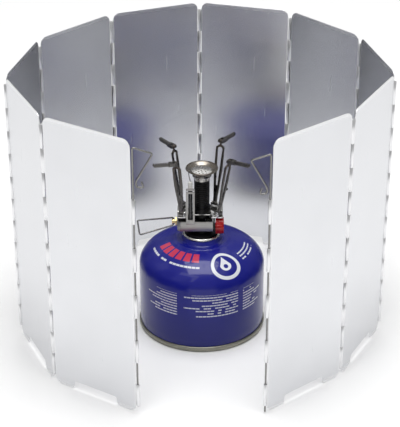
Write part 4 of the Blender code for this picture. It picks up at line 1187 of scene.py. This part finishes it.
def make_arms():
    foot = foot_mesh()
    for name, (pivot, tip, heading) in ARMS.items():
        start, width, _, along = arm_axes(pivot, tip)
        angle = math.radians(heading)
        foot_axis = Vector((-math.sin(angle), math.cos(angle), 0))
        stub = name == "front_right"
        arm = arm_mesh(width, along, foot_axis, stub)
        place = STOVE @ Matrix.Translation(start)
        show(f"support_arm_{name}", arm, "darkened_stainless", f"pot_arm_{name}", place)
        turn = STOVE @ turned_at(start + along, heading)
        show(f"support_foot_{name}", foot, "darkened_stainless", f"pot_foot_{name}", turn)
        reach = EYE_LENGTH / 2 + RUN_GAP + CHEEK_THICKNESS
        pin = bar(-reach * width, reach * width, PIN_RADIUS, 24)
        show(f"support_pin_{name}", pin, "bright_stainless", f"arm_pin_{name}", place)


# ---- igniter


def box_outline(half, low, high):
    return [(-half, low), (half, low), (half, high), (-half, high)]


def make_igniter_mast():
    """The slotted frame, the ceramic rod behind it, and the electrode that bends round the dish."""
    half, front = FRAME_WIDTH / 2, BRACKET_FRONT - REST_GAP - FRAME_SHEET / 2
    outlines = [
        softened(box_outline(half, FRAME_LOW, FRAME_TOP), 0.0006),
        softened(box_outline(FRAME_SLOT, FRAME_LOW + 0.0045, FRAME_TOP - 0.0046), 0.0007),
        softened(box_outline(half - 0.0004, FRAME_TOP - 0.0029, FRAME_TOP - 0.0018), 0.0002),
    ]
    strap = sheet(outlines, FRAME_SHEET, Matrix.Translation((FRAME_X, front, 0)) @ UPRIGHT)
    show("igniter_strap", strap, "brushed_stainless", "igniter_frame")

    low, outer, inner = BRACKET_TOP + REST_GAP, CERAMIC_RADIUS, CERAMIC_RADIUS - CERAMIC_GROOVE
    profile = [(0, low), (outer, low)]
    for z in (0.1356, 0.1376):
        profile += [(outer, z), (inner, z + 0.0002), (inner, z + 0.0007), (outer, z + 0.0009)]
    profile += [(outer, CERAMIC_TOP - 0.0006), (0.0010, CERAMIC_TOP), (0, CERAMIC_TOP)]
    foot = Vector((FRAME_X, BRACKET_FRONT + CERAMIC_RADIUS, 0))
    rod = lathe(softened(profile, 0.0002, closed=False, steps=2), 40, False)
    place = STOVE @ Matrix.Translation(foot)
    show("igniter_insulator", rod, "white_ceramic", "ceramic_insulator", place)

    outward = foot.normalized()
    beside = outward * (HEAD_RADIUS + ELECTRODE_RADIUS + 3 * REST_GAP)
    start, above = foot + UP * (CERAMIC_TOP + REST_GAP), beside + UP * (HEAD_TOP + 0.0014)
    path = [start, beside + UP * (HEAD_TOP - 0.0022), above, above - outward * 0.0050]
    path = softened(path, 0.0012, closed=False, steps=6)
    show("igniter_electrode", wire(path, ELECTRODE_RADIUS), "stainless_wire", "electrode")


def make_igniter_button():
    """The piezo unit in the bracket, and the fluted red cap on its end."""
    centre = {"y": PIEZO_Y, "z": BUTTON_Z}
    left = BRACKET_RIGHT + REST_GAP
    right = left + PIEZO_PROUD
    housing = bar_x(BRACKET_LEFT + 0.011, right, PIEZO_RADIUS, segments=48, edge=0.0003, **centre)
    collar = bar_x(left, right, PIEZO_COLLAR, segments=72, edge=0.0003, **centre)
    socket = bar_x(right - 0.0050, right + 0.001, 0.0019, **centre)
    show("igniter_piezo", built(housing, [collar], [socket]), "black_plastic", "piezo_unit")

    front, radius = BUTTON_BACK + BUTTON_LENGTH, BUTTON_RADIUS
    inner, stem, roof = radius - 0.0006, 0.0015, front - BUTTON_WALL
    cap = [
        (0, front - 0.0005), (0.0035, front - 0.0003), (0.0058, front), (radius, front - 0.0001),
        (radius, BUTTON_BACK), (inner, BUTTON_BACK), (inner, roof), (stem, roof),
        (stem, BUTTON_BACK - 0.0016), (0, BUTTON_BACK - 0.0016),
    ]
    cap = lathe(softened(cap, 0.0007, closed=False, steps=5), 96, False)
    flutes = []
    for x, y in around(FLUTES, radius + 0.00062):
        flutes.append(bar((x, y, BUTTON_BACK - 0.001), (x, y, front - 0.0014), 0.0009, 16, 0.0004))
    button = built(cap, (), [gathered(flutes)])
    button.transform(Matrix.Translation((0, PIEZO_Y, BUTTON_Z)) @ ALONG_X)
    show("igniter_push_button", button, "red_plastic", "igniter_button")


# ---- stage


def make_stage():
    """A plain white floor, soft area lights and the camera."""
    mesh = bpy.data.meshes.new("floor")
    corners = [(x * FLOOR_HALF, y * FLOOR_HALF, 0) for x, y in ((-1, -1), (1, -1), (1, 1), (-1, 1))]
    mesh.from_pydata(corners, [], [(0, 1, 2, 3)])
    floor = bpy.data.objects.new("floor", mesh)
    floor.location.z = -FLOOR_GAP
    bpy.context.scene.collection.objects.link(floor)
    mesh.materials.append(Finish("studio_floor", (0.97, 0.97, 0.97), 0.60, specular_ior_level=0.2).material)

    world = bpy.data.worlds.new("studio")
    world.use_nodes = True
    background = world.node_tree.nodes["Background"]
    background.inputs["Color"].default_value = (1.0, 1.0, 1.0, 1)
    background.inputs["Strength"].default_value = WORLD_STRENGTH
    bpy.context.scene.world = world
    for name, place, size, power in LIGHTS:
        light = bpy.data.lights.new(name, "AREA")
        light.size = size
        light.energy = power
        lamp = bpy.data.objects.new(name, light)
        lamp.location = place
        lamp.rotation_euler = (Vector((0, 0, 0.1)) - Vector(place)).to_track_quat("-Z", "Y").to_euler()
        bpy.context.scene.collection.objects.link(lamp)

    camera = bpy.data.cameras.new("camera")
    camera.lens = CAMERA_LENS
    camera.sensor_width = 36.0
    camera.clip_start = 0.05
    viewer = bpy.data.objects.new("camera", camera)
    viewer.location = CAMERA_PLACE
    viewer.rotation_euler = (math.pi / 2 - CAMERA_DOWN, 0, CAMERA_TURN)
    bpy.context.scene.collection.objects.link(viewer)
    bpy.context.scene.camera = viewer
    bpy.context.scene.view_settings.view_transform = "Standard"


# Colour, roughness, grain, the record's slot, and what differs from plain brushed metal
METALS = {
    "stainless_wire": ((0.26, 0.256, 0.248), 0.20, (1800, 1800, 120), "stainless_wire", {}),
    "tinplate": ((0.33, 0.322, 0.268), 0.32, (300, 300, 2600), "tinplate", {"dull": 0.6}),
    "bright_tinplate": ((0.66, 0.65, 0.61), 0.24, (300, 300, 2600), "tinplate", {}),
    "brushed_stainless": (
        (0.38, 0.372, 0.36), 0.30, (90, 1500, 1500), "brushed_stainless", {"spread": 0.16, "dull": 0.66}
    ),
    "turned_stainless": ((0.50, 0.485, 0.46), 0.24, (260, 260, 3000), "brushed_stainless", {"spread": 0.14}),
    "bright_stainless": ((0.78, 0.77, 0.75), 0.20, (500, 500, 500), "brushed_stainless", {}),
    "brass": ((0.86, 0.70, 0.36), 0.26, (120, 1500, 1500), "brass", {"dull": 0.62}),
}
# Colour, roughness, colour where worn, and the shader's own settings
BLACKS = {
    "black_anodised": ((0.0025, 0.0025, 0.003), 0.36, (0.012, 0.011, 0.010), {"specular_ior_level": 0.2}),
    "black_plastic": ((0.008, 0.008, 0.008), 0.42, (0.025, 0.025, 0.025), {"specular_ior_level": 0.4}),
    "rubber": ((0.015, 0.015, 0.015), 0.75, (0.04, 0.04, 0.04), {}),
}
# Plain, warm and cool colours, roughness, the heights between which it stains, and the record's slot
STAINED = {
    "flame_stained": (
        (0.36, 0.345, 0.325), (0.23, 0.20, 0.165), (0.13, 0.125, 0.14), 0.27, 0.140, 0.156,
        "brushed_stainless",
    ),
    "darkened_stainless": (
        (0.150, 0.143, 0.137), (0.112, 0.092, 0.078), (0.072, 0.070, 0.078), 0.29, 0.02, 0.075,
        "darkened_stainless",
    ),
}
# Every finish by name, with the name of a slot in the record beside it
FINISHES = {
    "satin_aluminium": (plate_aluminium(), "satin_aluminium"),
    "blue_lacquer": (blue_lacquer(), "blue_lacquer"),
    "red_plastic": (red_plastic(), "red_plastic"),
    "white_ceramic": (white_ceramic(), "white_ceramic"),
}
for name, (colour, roughness, grain, slot, special) in METALS.items():
    FINISHES[name] = (brushed(name, colour, roughness, grain, **special), slot)
for name, (colour, roughness, worn, special) in BLACKS.items():
    FINISHES[name] = (black_finish(name, colour, roughness, worn, **special), name)
for name, (*settings, slot) in STAINED.items():
    FINISHES[name] = (heat_stained(name, *settings), slot)

for make in (
    make_windscreen, make_cartridge, make_base, make_bracket, make_valve, make_tube_and_neck, make_head,
    make_carrier, make_arms, make_igniter_mast, make_igniter_button, make_stage,
):
    make()
